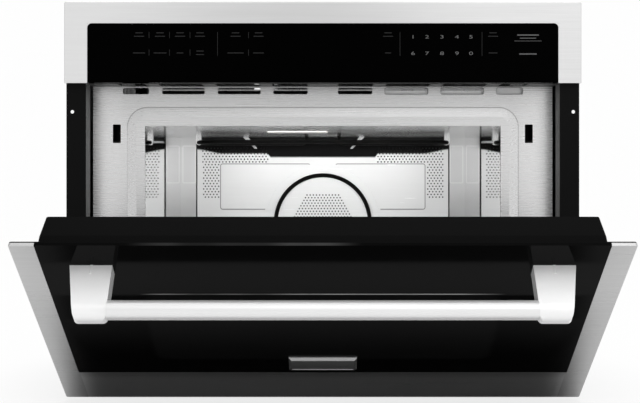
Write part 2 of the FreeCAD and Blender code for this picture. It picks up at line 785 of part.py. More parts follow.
def cavity_back_wall():
    holes = [circle("xz", 0, fan_z, intake_radius, back_y)]
    out, top = half_cavity - outlet_inset, roof_z - outlet_below_roof
    for side in (-1, 1):
        a, b = sorted((side * out, side * (out - outlet_width)))
        holes.append(rounded("xz", a, b, top - outlet_height, top, edge_radius, back_y))
    holes += [circle("xz", side * ring_leg_x, leg_drop(), leg_hole, back_y) for side in (-1, 1)]
    outline = polygon("xz", [(-shell_half, floor_z - cavity_sheet), (shell_half, floor_z - cavity_sheet),
                             (shell_half, roof_z + cavity_sheet), (-shell_half, roof_z + cavity_sheet)],
                      back_y)
    return sheet("xz", outline, holes, cavity_sheet)


# Ring heater round the fan guard, in front of the rear panel, and the grill heater
# that hangs under the roof.
ring_rod = 3.8
ring_standoff = 7.0
ring_leg_x = 16.0
terminal_plate = 9.0
terminal_reach = 12.0
ring_y = grille_y - ring_standoff
chamber_share = 0.46154       # fan chamber's depth, of the room behind the rear cover
chamber_depth = chamber_share * rear_room
chamber_y = back_y + cavity_sheet
chamber_back = chamber_y + chamber_depth

save("cavity_left_wall", wall(-1))
save("cavity_right_wall", wall(1))
save("cavity_roof", cavity_roof())
save("cavity_floor", cavity_floor())
save("cavity_back_wall", cavity_back_wall())

# Rear grille panel: a stamped stainless cover in front of the back wall, with two
# pressed plain fields, perforated fields along its sides and top, and the fan's guard.
# The small round holes stand here as one slot for each row.
cover_inset = 31.5            # cover's side inside the cavity side
grille_sheet = 1.0
grille_top_gap = 6.0
grille_bottom_gap = 1.0
row_pitch = 5.14
row_slot_height = 3.2
row_end = 7.2                 # rows of holes end inside the cover's side
row_drop = 18.4               # first row below the roof
top_rows = 6
top_row_length = 129.3
side_rows = 13
side_row_length = 36.2
boss_raise = 1.6
guard_rows = 21
guard_end_share = 0.3173      # half width of the guard's first and last row, of the boss
guard_middle_share = 0.5962
field_gap = 0.6               # plain field inside the side rows
field_inner = 24.0            # its inner end from the middle
field_drop = 49.5             # its top below the roof
field_height_share = 0.3215   # of the cavity's height
field_raise = 2.0
field_radius = 4.0
field_clearance = 4.0         # round the boss
grille_half = half_cavity - cover_inset
row_out = grille_half - row_end


def guard_half(row):
    """Half width of a guard row: six-sided field, widest at the fan's centre."""
    middle = (guard_rows - 1) / 2
    share = 1 - abs(row - middle) / middle
    return boss_radius * (guard_end_share + (guard_middle_share - guard_end_share) * share)


def rear_grille_panel():
    y, t = grille_y, grille_sheet
    z0, z1 = floor_z + grille_bottom_gap, roof_z - grille_top_gap
    first = roof_z - row_drop
    slots = []
    for row in range(side_rows + top_rows):
        z = first - row * row_pitch
        start = row_out - (top_row_length if row < top_rows else side_row_length)
        for side in (-1, 1):
            a, b = sorted((side * start, side * row_out))
            slots.append(rectangle("xz", a, b, z - row_slot_height, z, y))
    outline = rounded("xz", -grille_half, grille_half, z0, z1, edge_radius, y)
    panel = sheet("xz", outline, slots, t)
    panel = panel.cut(rod(V(0, y - overrun, fan_z), V(0, 1, 0), boss_radius, 2 * overrun))
    rows = []
    for row in range(guard_rows):
        z = fan_z + (row - (guard_rows - 1) / 2) * row_pitch
        half = guard_half(row)
        rows.append(rectangle("xz", -half, half, z - row_slot_height / 2, z + row_slot_height / 2,
                              y - boss_raise))
    boss_legs = [circle("xz", side * ring_leg_x, leg_drop(), leg_hole, y - boss_raise)
                 for side in (-1, 1)]
    boss = sheet("xz", circle("xz", 0, fan_z, boss_radius, y - boss_raise), rows + boss_legs, t)
    rim = rod(V(0, y - boss_raise, fan_z), V(0, 1, 0), boss_radius + t, boss_raise + t)
    rim = rim.cut(rod(V(0, y - overrun, fan_z), V(0, 1, 0), boss_radius, boss_raise + 2 * overrun))
    pieces = [boss, rim]
    top, out = roof_z - field_drop, row_out - side_row_length - field_gap
    bite = rod(V(0, y - overrun, fan_z), V(0, 1, 0), boss_radius + field_clearance, 2 * overrun)
    for side in (-1, 1):
        a, b = sorted((side * field_inner, side * out))
        field = sheet("xz", rounded("xz", a, b, top - field_height_share * cavity_height, top,
                                    field_radius, y - field_raise), [], field_raise)
        pieces.append(field.cut(bite))
    returns = [block(grille_half - t, grille_half, y + t, back_y, z0 + edge_radius, z1 - edge_radius)]
    returns.append(mirror_x(returns[0]))
    return panel.multiFuse(pieces + returns)


def ring_heater():
    """Open ring with two legs that turn back through the wall."""
    gap = math.degrees(math.asin(ring_leg_x / ring_radius))
    centre = V(0, ring_y, fan_z)
    start = V(ring_radius, ring_y, fan_z)
    section = Part.Face(Part.Wire(Part.makeCircle(ring_rod, start, V(0, 0, 1))))
    ring = section.revolve(centre, V(0, 1, 0), 360 - 2 * gap)
    ring.rotate(centre, V(0, 1, 0), gap + 90)
    drop = math.sqrt(ring_radius ** 2 - ring_leg_x ** 2)
    legs = []
    for side in (-1, 1):
        foot = V(side * ring_leg_x, ring_y, fan_z - drop)
        legs.append(rod(foot, V(0, 1, 0), ring_rod, chamber_back + terminal_reach - ring_y))
        legs.append(Part.makeSphere(ring_rod, foot))
    x, z = ring_leg_x + terminal_plate, fan_z - drop
    plate = block(-x, x, chamber_back, chamber_back + plate_sheet, z - terminal_plate, z + terminal_plate)
    return ring.multiFuse(legs + [plate])


def heater_level():
    """Height of the grill heater's centreline."""
    return roof_z - heater_drop


heater_inset = 44.0           # grill heater's end inside the cavity side
heater_leg_bend = 10.0
heater_leg_rise = 16.0


def top_heater():
    """Racetrack rod with its two ends turned up through the roof."""
    z = heater_level()
    centre_y = (heater_front_y + heater_rear_y) / 2
    bend = heater_spread / 2
    x = half_cavity - heater_inset - bend
    leg = V(heater_leg_x, heater_rear_y, roof_z + heater_leg_rise)
    corner = V(heater_leg_x, heater_rear_y, z)
    rear = tube([leg, corner, V(x, heater_rear_y, z)], heater_leg_bend, heater_radius)
    section = Part.Face(Part.Wire(Part.makeCircle(heater_radius, V(x, heater_rear_y, z), V(1, 0, 0))))
    turn = section.revolve(V(x, centre_y, z), V(0, 0, -1), 180)
    front = rod(V(-x, heater_front_y, z), V(1, 0, 0), heater_radius, 2 * x)
    x = heater_leg_x + terminal_plate
    plate = block(-x, x, heater_rear_y - terminal_plate, heater_rear_y + terminal_plate,
                  roof_z + cavity_sheet, roof_z + 2 * cavity_sheet)
    return front.multiFuse([rear, turn, mirror_x(rear), mirror_x(turn), plate]).removeSplitter()


# Heater clips: hooks from the roof at both ends, two slanted stays, and two small
# hooks on the rear panel for the ring.
clip_sheet = 1.0
clip_width = 10.0
stay_left = 144.0
stay_right = 73.0
stay_lean = 20.0
stay_drop = 22.0
ring_clip_angle = 32.0
ring_clip_width = 8.0


def heater_clips():
    z = heater_level()
    grip = heater_radius + pin_play
    clips = []
    centre_y = (heater_front_y + heater_rear_y) / 2
    for side in (-1, 1):
        x = side * (half_cavity - heater_inset)
        ring = rod(V(x, centre_y - clip_width / 2, z), V(0, 1, 0), grip + clip_sheet, clip_width)
        hanger = block(x - clip_width / 2, x + clip_width / 2, centre_y - clip_width / 2,
                       centre_y + clip_width / 2, z, roof_z)
        turn = Part.makeTorus(heater_spread / 2, grip, V(x - side * heater_spread / 2, centre_y, z),
                              V(0, 0, 1))
        clips.append(ring.fuse(hanger).cut(turn))
    for x, lean in ((-stay_left, stay_lean), (stay_right, -stay_lean)):
        foot = (x + lean, roof_z - stay_drop)
        corners = [(x - clip_width / 2, roof_z), (x + clip_width / 2, roof_z),
                   (foot[0] + clip_width / 4, foot[1]), (foot[0] - clip_width / 4, foot[1])]
        clips.append(sheet("xz", polygon("xz", corners, heater_rear_y + grip), [], clip_sheet))
    for angle in (180 + ring_clip_angle, 360 - ring_clip_angle):
        way = V(math.cos(math.radians(angle)), 0, math.sin(math.radians(angle)))
        spot = V(0, ring_y, fan_z) + way * ring_radius
        side = V(way.z, 0, -way.x)
        hook = rod(spot - side * (ring_clip_width / 2), side, ring_rod + pin_play + clip_sheet,
                   ring_clip_width)
        stem = rod(spot, V(0, 1, 0), clip_sheet + clip_sheet, grille_y - boss_raise - ring_y)
        bore = rod(spot - side * (ring_clip_width + overrun), side, ring_rod + pin_play,
                   2 * ring_clip_width + 2 * overrun)
        relief = Part.makeTorus(ring_radius, ring_rod + pin_play, V(0, ring_y, fan_z), V(0, 1, 0))
        clips.append(hook.fuse(stem).cut(bore).cut(relief))
    return Part.makeCompound(clips)


save("rear_grille_panel", rear_grille_panel())
save("ring_heater", ring_heater())
save("top_heater", top_heater())
save("heater_clips", heater_clips())

# Convection fan: a pressed chamber behind the back wall, the bladed wheel on its
# shaft, and a flat motor on the chamber's rear.
chamber_inset = 29.5          # chamber's side inside the cavity side
chamber_rise = 9.6            # above the cavity floor
chamber_radius = 20.0
chamber_flange = 8.0
chamber_half = half_cavity - chamber_inset
chamber_z0 = floor_z + chamber_rise
chamber_z1 = roof_z - chamber_flange
shaft_radius = 4.0
fan_hub_radius = 9.0
fan_hub_length = 16.0
fan_disc = 1.0
fan_blade_count = 10
fan_blade_depth = 17.0
fan_blade_share = 0.5455      # blade's length, of the fan's radius
fan_blade_sheet = 1.0
fan_blade_sweep = 30.0
fan_rear_gap = 5.0
motor_radius = 22.4
motor_length_share = 0.36923  # of the room behind the rear cover
motor_core_half = 38.0
motor_core_share = 0.58333    # stack's depth, of the motor's length
core_rise_share = 0.7         # stack above the shaft, of its half width
coil_half_share = 0.5
coil_drop_share = 0.62
shaft_nose = 4.0
nut_share = 1.6               # fan nut's corners, of the shaft's radius
motor_length = motor_length_share * rear_room
motor_core_depth = motor_core_share * motor_length


def fan_chamber():
    t = frame_sheet

    def pan(grow, y0, y1):
        wire = rounded("xz", -chamber_half + grow, chamber_half - grow, chamber_z0 + grow,
                       chamber_z1 - grow, chamber_radius - grow, y0)
        return Part.Face(wire).extrude(V(0, y1 - y0, 0))

    shell = pan(0, chamber_y, chamber_back).cut(pan(t, chamber_y - overrun, chamber_back - t))
    flange_outer = rounded("xz", -chamber_half - chamber_flange, chamber_half + chamber_flange,
                           chamber_z0 - chamber_flange, roof_z, chamber_radius, chamber_y)
    flange_inner = rounded("xz", -chamber_half + t, chamber_half - t, chamber_z0 + t, chamber_z1 - t,
                           chamber_radius - t, chamber_y)
    flange = sheet("xz", flange_outer, [flange_inner], t)
    holes = [rod(V(0, chamber_back - overrun, fan_z), V(0, 1, 0), shaft_radius + fit, 2 * overrun)]
    holes += [rod(V(side * ring_leg_x, chamber_back - overrun, leg_drop()), V(0, 1, 0), leg_hole,
                  2 * overrun) for side in (-1, 1)]
    return shell.fuse(flange).cut(Part.makeCompound(holes)).removeSplitter()


def fan_place():
    """Rear face of the fan's disc along Y."""
    return chamber_back - frame_sheet - fan_rear_gap


def convection_fan():
    """Disc with swept blades standing forwards, round a bored hub."""
    y1 = fan_place()
    centre = V(0, 0, fan_z)
    disc = rod(V(0, y1 - fan_disc, fan_z), V(0, 1, 0), fan_radius, fan_disc)
    hub = rod(V(0, y1 - fan_hub_length, fan_z), V(0, 1, 0), fan_hub_radius, fan_hub_length)
    inner = fan_radius * (1 - fan_blade_share)
    blade = block(inner, fan_radius, y1 - fan_disc - fan_blade_depth, y1 - fan_disc,
                  fan_z - fan_blade_sheet / 2, fan_z + fan_blade_sheet / 2)
    blade.rotate(V(inner, 0, fan_z), V(0, 1, 0), fan_blade_sweep)
    blade = blade.common(rod(V(0, y1 - 2 * fan_blade_depth, fan_z), V(0, 1, 0), fan_radius,
                             3 * fan_blade_depth))
    wheel = disc.multiFuse([hub] + around(blade, fan_blade_count, centre, V(0, 1, 0)))
    bore = rod(V(0, y1 - 2 * fan_hub_length, fan_z), V(0, 1, 0), shaft_radius, 3 * fan_hub_length)
    return wheel.cut(bore)


def fan_shaft():
    y0 = fan_place() - fan_hub_length - shaft_nose
    y1 = chamber_back + motor_length - shaft_nose
    shaft = rod(V(0, y0, fan_z), V(0, 1, 0), shaft_radius, y1 - y0)
    corner = nut_share * shaft_radius
    nut = sheet("xz", polygon("xz", [(corner * math.cos(math.pi * k / 3),
                                      fan_z + corner * math.sin(math.pi * k / 3))
                                     for k in range(6)], y0), [], shaft_nose)
    return shaft.fuse(nut)


def convection_motor():
    """Shaded-pole motor: laminated core, round bearing housing and coil."""
    y0 = chamber_back
    core_y = y0 + (motor_length - motor_core_depth) / 2
    half = motor_core_half
    core = sheet("xz", rounded("xz", -half, half, fan_z - half, fan_z + half * core_rise_share,
                               edge_radius, core_y), [], motor_core_depth)
    housing = rod(V(0, y0, fan_z), V(0, 1, 0), motor_radius, motor_length)
    coil = block(-half * coil_half_share, half * coil_half_share, core_y - shaft_nose,
                 core_y + motor_core_depth + shaft_nose, fan_z - half, fan_z - half * coil_drop_share)
    bore = rod(V(0, y0 - overrun, fan_z), V(0, 1, 0), shaft_radius + pin_play,
               motor_length - shaft_nose + overrun + pin_play)
    return core.multiFuse([housing, coil]).cut(bore)


save("fan_chamber", fan_chamber())
save("convection_fan", convection_fan())
save("fan_shaft", fan_shaft())
save("convection_motor", convection_motor())

# Wave supply on the roof: magnetron with cooling fins, the waveguide it feeds, the
# transformer with its two windings, and the oval capacitor in its strap.
deck_z = roof_z + cavity_sheet
guide_side_share = 0.04453    # waveguide beyond the inlet's sides, of half the cavity
guide_lead = 8.0              # and in front of it
guide_length_share = 0.347    # of the cavity's depth
guide_height = 42.0
guide_wall = 1.2
tube_before_end = 42.0        # magnetron's middle before the waveguide's rear end
guide_left = wave_left - guide_side_share * half_cavity
guide_right = wave_right + guide_side_share * half_cavity
guide_front = wave_front - guide_lead
guide_rear = guide_front + guide_length_share * cavity_depth
tube_x = (guide_left + guide_right) / 2
tube_y = guide_rear - tube_before_end
magnetron_half_x = 46.0
magnetron_half_y = 38.0
magnetron_height = 78.0
fin_count = 9
fin_sheet = 0.8
anode_radius = 20.0
yoke_sheet = 2.0
filter_height = 24.0
antenna_radius = 7.5
antenna_length = 28.0
gasket_radius = 16.0


def waveguide():
    z1 = deck_z + guide_height
    outer = block(guide_left, guide_right, guide_front, guide_rear, deck_z, z1)
    w = guide_wall
    inner = block(guide_left + w, guide_right - w, guide_front + w, guide_rear - w, deck_z + w, z1 - w)
    mouth = block(wave_left, wave_right, wave_front, wave_rear, deck_z - overrun, deck_z + overrun)
    port = rod(V(tube_x, tube_y, z1 - overrun), V(0, 0, 1), gasket_radius + fit, 2 * overrun)
    return outer.cut(inner).cut(mouth).cut(port)


def magnetron():
    z0 = deck_z + guide_height
    z1 = z0 + magnetron_height
    x0, x1 = tube_x - magnetron_half_x, tube_x + magnetron_half_x
    y0, y1 = tube_y - magnetron_half_y, tube_y + magnetron_half_y
    yoke = block(x0, x1, y0, y1, z0, z1).cut(
        block(x0 + yoke_sheet, x1 - yoke_sheet, y0 - overrun, y1 + overrun, z0 + yoke_sheet,
              z1 - yoke_sheet))
    anode = rod(V(tube_x, tube_y, z0), V(0, 0, 1), anode_radius, magnetron_height)
    fins = []
    for index in range(fin_count):
        z = z0 + magnetron_height * (index + 1) / (fin_count + 1)
        fins.append(block(x0 + yoke_sheet, x1 - yoke_sheet, y0 + yoke_sheet, y1 - yoke_sheet,
                          z, z + fin_sheet))
    filter_box = block(x0 + magnetron_half_x / 3, x1 - magnetron_half_x / 3, y0, y1, z1,
                       z1 + filter_height)
    antenna = rod(V(tube_x, tube_y, z0 - antenna_length), V(0, 0, 1), antenna_radius, antenna_length)
    neck = rod(V(tube_x, tube_y, z0 - guide_wall), V(0, 0, 1), gasket_radius, guide_wall)
    return yoke.multiFuse([anode, filter_box, antenna, neck] + fins)


core_left_share = 0.44527     # of half the cavity's width
core_width = 112.0
core_before_cover = 90.0
core_depth = 62.0
core_height = 88.0
core_window = 22.0
core_leg = 18.0
winding_wall = 4.0
winding_out = 16.0
foot_sheet = 2.0
foot_reach = 12.0
foot_hole = 3.0


def hv_transformer():
    """E and I laminations as one core, two windings on the middle leg, slotted feet."""
    x0 = core_left_share * half_cavity
    x1 = x0 + core_width
    y0 = grille_y - core_before_cover
    y1 = y0 + core_depth
    z0, z1 = deck_z + foot_sheet, deck_z + foot_sheet + core_height
    core = block(x0, x1, y0, y1, z0, z1)
    openings = []
    for x in (x0 + core_leg, x1 - core_leg - core_window):
        openings.append(block(x, x + core_window, y0 - overrun, y1 + overrun, z0 + core_leg,
                              z1 - core_leg))
    core = core.cut(Part.makeCompound(openings))
    coils = []
    low, high = z0 + core_leg + winding_wall / 2, z1 - core_leg - winding_wall / 2
    half = (high - low - winding_wall) / 2
    inset = winding_wall / 2
    for z in (low, high - half):
        outer = rounded("xy", x0 + core_leg + inset, x1 - core_leg - inset, y0 - winding_out,
                        y1 + winding_out, winding_out / 2, z)
        inner = rounded("xy", x0 + core_leg + core_window, x1 - core_leg - core_window, y0, y1,
                        fit, z)
        coils.append(sheet("xy", outer, [inner], half))
    foot = sheet("xy", polygon("xy", [(x0 - foot_reach, y0), (x1 + foot_reach, y0),
                                      (x1 + foot_reach, y1), (x0 - foot_reach, y1)], deck_z),
                 [circle("xy", x, y, foot_hole, deck_z) for x in (x0 - foot_reach / 2, x1 + foot_reach / 2)
                  for y in (y0 + foot_reach / 2, y1 - foot_reach / 2)], foot_sheet)
    return core.multiFuse(coils + [foot])


can_left_share = 0.68275      # of half the cavity's width
can_before_cover = 220.0
can_length = 84.0
can_oval = 50.0
can_thick = 32.0
can_rim = 1.5
can_round_share = 0.4545      # corner radius, of the can's thickness
tab_width = 6.3
tab_height = 9.0
tab_sheet = 0.8
tab_shares = (0.3, 0.7)


def hv_capacitor():
    """Oval can lying on the roof, rolled rims, blade terminals, and its strap."""
    x0, y0 = can_left_share * half_cavity, grille_y - can_before_cover
    x1, y1, z1 = x0 + can_length, y0 + can_oval, deck_z + can_rim + can_thick
    bend = can_round_share * can_thick
    body = sheet("yz", rounded("yz", y0, y1, deck_z + can_rim, z1, bend, x0), [], can_length)
    rims = []
    for x in (x0, x1 - can_rim):
        rims.append(sheet("yz", rounded("yz", y0 - can_rim, y1 + can_rim, deck_z, z1 + can_rim, bend, x),
                          [], can_rim))
    tabs = [block(x1, x1 + tab_height, y0 + can_oval * share - tab_width / 2,
                  y0 + can_oval * share + tab_width / 2, deck_z + can_thick / 2,
                  deck_z + can_thick / 2 + tab_sheet) for share in tab_shares]
    middle = x0 + can_length / 2
    strap = sheet("yz", rounded("yz", y0 - can_rim, y1 + can_rim, deck_z, z1 + can_rim, bend,
                                middle - tab_height), [], 2 * tab_height)
    ear = block(middle - tab_height, middle + tab_height, y0 - 2 * tab_height, y0 + can_oval / 2,
                deck_z, deck_z + can_rim)
    return body.multiFuse(rims + tabs + [strap, ear])


save("waveguide", waveguide())
save("magnetron", magnetron())
save("hv_transformer", hv_transformer())
save("hv_capacitor", hv_capacitor())

# Cooling blower: a scroll housing on the roof that blows through the magnetron's fins,
# its cage wheel on a spindle, and a motor on the housing's side.
scroll_width = 66.0
scroll_shift = 6.0            # its middle left of the magnetron's
scroll_before_cover = 20.0    # wheel's spindle in front of the rear cover
scroll_above_deck = 72.0
scroll_left = tube_x - scroll_shift - scroll_width / 2
scroll_right = scroll_left + scroll_width
scroll_y = grille_y - scroll_before_cover
scroll_z = deck_z + scroll_above_deck
scroll_start = 47.0
scroll_growth = 20.0
scroll_lip_angle = 120.0
scroll_sweep = 330.0
scroll_steps = 6
scroll_wall = 1.5
scroll_outlet_gap = 6.0       # outlet behind the magnetron's fins
scroll_foot_front = 12.0      # foot before and behind the spindle
scroll_foot_rear = 16.0
scroll_foot_height = 24.0
scroll_outlet_y = tube_y + magnetron_half_y + scroll_outlet_gap
inlet_radius = 30.0
wheel_radius = 40.0
wheel_ring = 6.0
wheel_gap = 4.0
blade_count = 24
blade_sheet = 1.0
blade_lean = 30.0
wheel_hub_radius = 9.0
wheel_hub_length = 18.0
spindle_radius = 3.0
blower_motor_half = 28.0
blower_motor_depth = 34.0
blower_stack = 16.0


def scroll_outline(at, inset, outlet):
    """Growing spiral that ends in a straight outlet, moved inwards by inset."""
    def spot(turn):
        radius = scroll_start + scroll_growth * turn - inset
        angle = math.radians(scroll_lip_angle + scroll_sweep * turn)
        return V(at, scroll_y + radius * math.cos(angle), scroll_z + radius * math.sin(angle))

    edges = []
    for step in range(scroll_steps):
        a, b, c = (spot((2 * step + k) / (2 * scroll_steps)) for k in (0, 1, 2))
        edges.append(Part.Arc(a, b, c).toShape())
    lip_z = scroll_z + scroll_start * math.sin(math.radians(scroll_lip_angle)) + inset
    path = [spot(1), V(at, outlet, spot(1).z), V(at, outlet, lip_z)]
    if inset:
        path.append(V(at, spot(0).y, lip_z))
    path.append(spot(0))
    edges += [Part.LineSegment(a, b).toShape() for a, b in zip(path, path[1:])]
    return Part.Wire(edges)


def blower_housing():
    x0, x1 = scroll_left, scroll_right
    w = scroll_wall
    shell = Part.Face(scroll_outline(x0, 0, scroll_outlet_y)).extrude(V(x1 - x0, 0, 0))
    foot = block(x0, x1, scroll_y - scroll_foot_front, scroll_y + scroll_foot_rear, deck_z,
                 deck_z + scroll_foot_height)
    space = Part.Face(scroll_outline(x0 + w, w, scroll_outlet_y - overrun)).extrude(V(x1 - x0 - 2 * w, 0, 0))
    inlet = rod(V(x0 - overrun, scroll_y, scroll_z), V(1, 0, 0), inlet_radius, 2 * overrun)
    eye = rod(V(x1 - overrun, scroll_y, scroll_z), V(1, 0, 0), spindle_radius + fit, 2 * overrun)
    return shell.fuse(foot).cut(Part.makeCompound([space, inlet, eye])).removeSplitter()


def wheel_span():
    """The wheel's two ends along X, inside the housing."""
    return scroll_left + scroll_wall + wheel_gap, scroll_right - scroll_wall - wheel_gap


def blower_wheel():
    x0, x1 = wheel_span()
    centre = V(x0, scroll_y, scroll_z)
    way = V(1, 0, 0)
    disc = rod(V(x1 - blade_sheet, scroll_y, scroll_z), way, wheel_radius, blade_sheet)
    ring = rod(centre, way, wheel_radius, blade_sheet)
    ring = ring.cut(rod(centre - way * overrun, way, wheel_radius - wheel_ring, 2 * overrun))
    hub = rod(V(x1 - wheel_hub_length, scroll_y, scroll_z), way, wheel_hub_radius, wheel_hub_length)
    inner = scroll_y + wheel_radius - wheel_ring
    blade = block(x0, x1, inner, scroll_y + wheel_radius, scroll_z - blade_sheet / 2,
                  scroll_z + blade_sheet / 2)
    blade.rotate(V(x0, inner + wheel_ring / 2, scroll_z), way, blade_lean)
    wheel = disc.multiFuse([ring, hub] + around(blade, blade_count, centre, way))
    spindle = rod(V(x1 - wheel_hub_length - wheel_gap, scroll_y, scroll_z), way, spindle_radius,
                  scroll_right + blower_motor_depth / 2 - x1 + wheel_hub_length + wheel_gap)
    return wheel.fuse(spindle)


def blower_motor():
    """Square laminated stack between two round bearing caps, with its coil below."""
    x0 = scroll_right
    h = blower_motor_half
    stack_x = x0 + (blower_motor_depth - blower_stack) / 2
    stack = sheet("yz", rounded("yz", scroll_y - h, scroll_y + h, scroll_z - h, scroll_z + h, edge_radius,
                                stack_x), [], blower_stack)
    caps = rod(V(x0, scroll_y, scroll_z), V(1, 0, 0), h / 2, blower_motor_depth)
    coil = block(stack_x - wheel_gap, stack_x + blower_stack + wheel_gap, scroll_y - h / 2,
                 scroll_y + h / 2, scroll_z - h, scroll_z - h / 2)
    bore = rod(V(x0 - overrun, scroll_y, scroll_z), V(1, 0, 0), spindle_radius + pin_play,
               blower_motor_depth / 2 + overrun + pin_play)
    return stack.multiFuse([caps, coil]).cut(bore)


save("blower_housing", blower_housing())
save("blower_wheel", blower_wheel())
save("blower_motor", blower_motor())

# Lamp over the slots on the left, steam duct over those on the right, a baffle that
# leads the cooling air to the front slots, and the cover of the wave inlet.
lamp_box_share = 0.11874      # half the lamp box's width, of half the cavity
lamp_box_height = 46.0
lamp_flange = 8.0
lamp_sheet = 0.8
lamp_hole = 10.0
socket_radius = 13.0
socket_height = 14.0
bulb_radius = 11.0
bulb_drop = 20.0
duct_share = 0.11874
duct_height = 30.0
baffle_drop = 4.0             # front run below the recess ceiling
baffle_run = 63.8             # its length behind the plate
baffle_slope = 22.0
baffle_inset = 7.5            # baffle's end inside the cavity side
baffle_hem = 5.0              # folded front edge
cover_margin = 6.0
cover_sheet = 0.8
lamp_box_half = lamp_box_share * half_cavity
duct_half = duct_share * half_cavity


def lamp_housing():
    h, z1, t = lamp_box_half, deck_z + lamp_box_height, lamp_sheet
    shell = block(-port_x - h, -port_x + h, port_y - h, port_y + h, deck_z, z1)
    space = block(-port_x - h + t, -port_x + h - t, port_y - h + t, port_y + h - t,
                  deck_z - overrun, z1 - t)
    f = h + lamp_flange
    flange = sheet("xy", rounded("xy", -port_x - f, -port_x + f, port_y - f, port_y + f, lamp_flange, deck_z),
                   [], t)
    hole = rod(V(-port_x, port_y, z1 - overrun), V(0, 0, 1), lamp_hole, 2 * overrun)
    return shell.fuse(flange).cut(Part.makeCompound([space, hole])).removeSplitter()


def cavity_lamp():
    """Socket standing on the box, its neck and the round bulb below."""
    top = deck_z + lamp_box_height
    socket = rod(V(-port_x, port_y, top), V(0, 0, 1), socket_radius, socket_height)
    neck = rod(V(-port_x, port_y, top - bulb_drop), V(0, 0, 1), lamp_hole - fit, bulb_drop)
    bulb = Part.makeSphere(bulb_radius, V(-port_x, port_y, top - bulb_drop))
    return socket.multiFuse([neck, bulb])


def steam_duct():
    """Channel over the right slots, open forwards below the front slots."""
    t = lamp_sheet
    y0, y1 = plate_back_y, port_y + duct_half
    shell = block(port_x - duct_half, port_x + duct_half, y0, y1, deck_z, deck_z + duct_height)
    space = block(port_x - duct_half + t, port_x + duct_half - t, y0 + plate_return, y1 - t,
                  deck_z - overrun, deck_z + duct_height - t)
    mouth = block(port_x - duct_half + t, port_x + duct_half - t, y0 + t, y0 + plate_return + overrun,
                  deck_z + t, deck_z + duct_height + overrun)
    return shell.cut(space).cut(mouth).removeSplitter()


def air_baffle():
    """Folded sheet from behind the vent slots down to the roof, its front edge hemmed."""
    t, top = frame_sheet, trim_z0 - baffle_drop
    bend, hem = plate_back_y + baffle_run, plate_back_y + baffle_hem
    foot = bend + baffle_slope
    line = [(plate_back_y, top), (bend, top), (foot, deck_z + t), (foot + rear_lip, deck_z + t),
            (foot + rear_lip, deck_z), (foot - t, deck_z), (bend - t, top - t), (hem, top - t),
            (hem, top - 2 * t), (plate_back_y, top - 2 * t)]
    half = half_cavity - baffle_inset
    baffle = sheet("yz", polygon("yz", line, -half), [], 2 * half)
    return baffle.cut(block(port_x - duct_half - fit, port_x + duct_half + fit, bend - rear_lip,
                            foot + 2 * rear_lip, deck_z - overrun, deck_z + duct_height + fit))


def waveguide_cover():
    m = cover_margin
    return sheet("xy", rounded("xy", wave_left - m, wave_right + m, wave_front - m, wave_rear + m, m,
                               roof_z - cover_sheet), [], cover_sheet)


save("lamp_housing", lamp_housing())
save("cavity_lamp", cavity_lamp())
save("steam_duct", steam_duct())
save("air_baffle", air_baffle())
save("waveguide_cover", waveguide_cover())

# Turntable: a flat motor under the floor, the coupler on its shaft, a ring on three
# rollers in the floor's track, and the glass tray that rides on the rollers.
turn_motor_radius = 25.0
turn_motor_height = 15.0
turn_ear = 9.0
turn_shaft_radius = 3.5
turn_shaft_below = 12.0
turn_collar_radius = 6.0
roller_radius = 7.0
roller_width = 8.0
roller_count = 3
axle_radius = 1.8
carrier_ring_gap = 13.0       # carrier ring's middle inside the track's
carrier_ring_width = 6.0
carrier_ring_height = 5.0
tray_play = 0.2
tray_share = 0.3976           # of the cavity's depth
tray_sheet = 5.0
tray_rim_height = 11.0
tray_rim_width = 7.0
hub_radius = 15.0
hub_wing = 7.0
hub_height = 8.0
roller_z = floor_z - track_depth + roller_radius
tray_z = roller_z + roller_radius + tray_play
turn_y = cavity_mid_y
tray_radius = tray_share * cavity_depth
carrier_ring_radius = track_radius - carrier_ring_gap


def turntable_motor():
    z1 = floor_z - cavity_sheet
    body = rod(V(0, turn_y, z1 - turn_motor_height), V(0, 0, 1), turn_motor_radius, turn_motor_height)
    ear = sheet("xy", link("xy", (-turn_motor_radius - turn_ear, turn_y), turn_ear, (0, turn_y),
                           turn_motor_radius / 2, z1 - frame_sheet),
                [circle("xy", -turn_motor_radius - turn_ear, turn_y, tapping_radius, z1 - frame_sheet)],
                frame_sheet)
    bore = rod(V(0, turn_y, z1 - turn_shaft_below), V(0, 0, 1), turn_shaft_radius + pin_play,
               turn_shaft_below + overrun)
    return body.multiFuse([ear, mirror_x(ear)]).cut(bore)


def drive_coupler():
    """Shaft from the motor, collar through the floor and three wings under the tray."""
    z0 = floor_z - cavity_sheet - turn_shaft_below + pin_play
    shaft = rod(V(0, turn_y, z0), V(0, 0, 1), turn_shaft_radius, tray_z - z0)
    hub_z = tray_z - hub_height
    collar = rod(V(0, turn_y, floor_z), V(0, 0, 1), turn_collar_radius, tray_z - floor_z)
    wing = block(0, hub_radius, turn_y - hub_wing / 2, turn_y + hub_wing / 2, hub_z, tray_z)
    return shaft.multiFuse([collar] + around(wing, roller_count, V(0, turn_y, 0), V(0, 0, 1)))


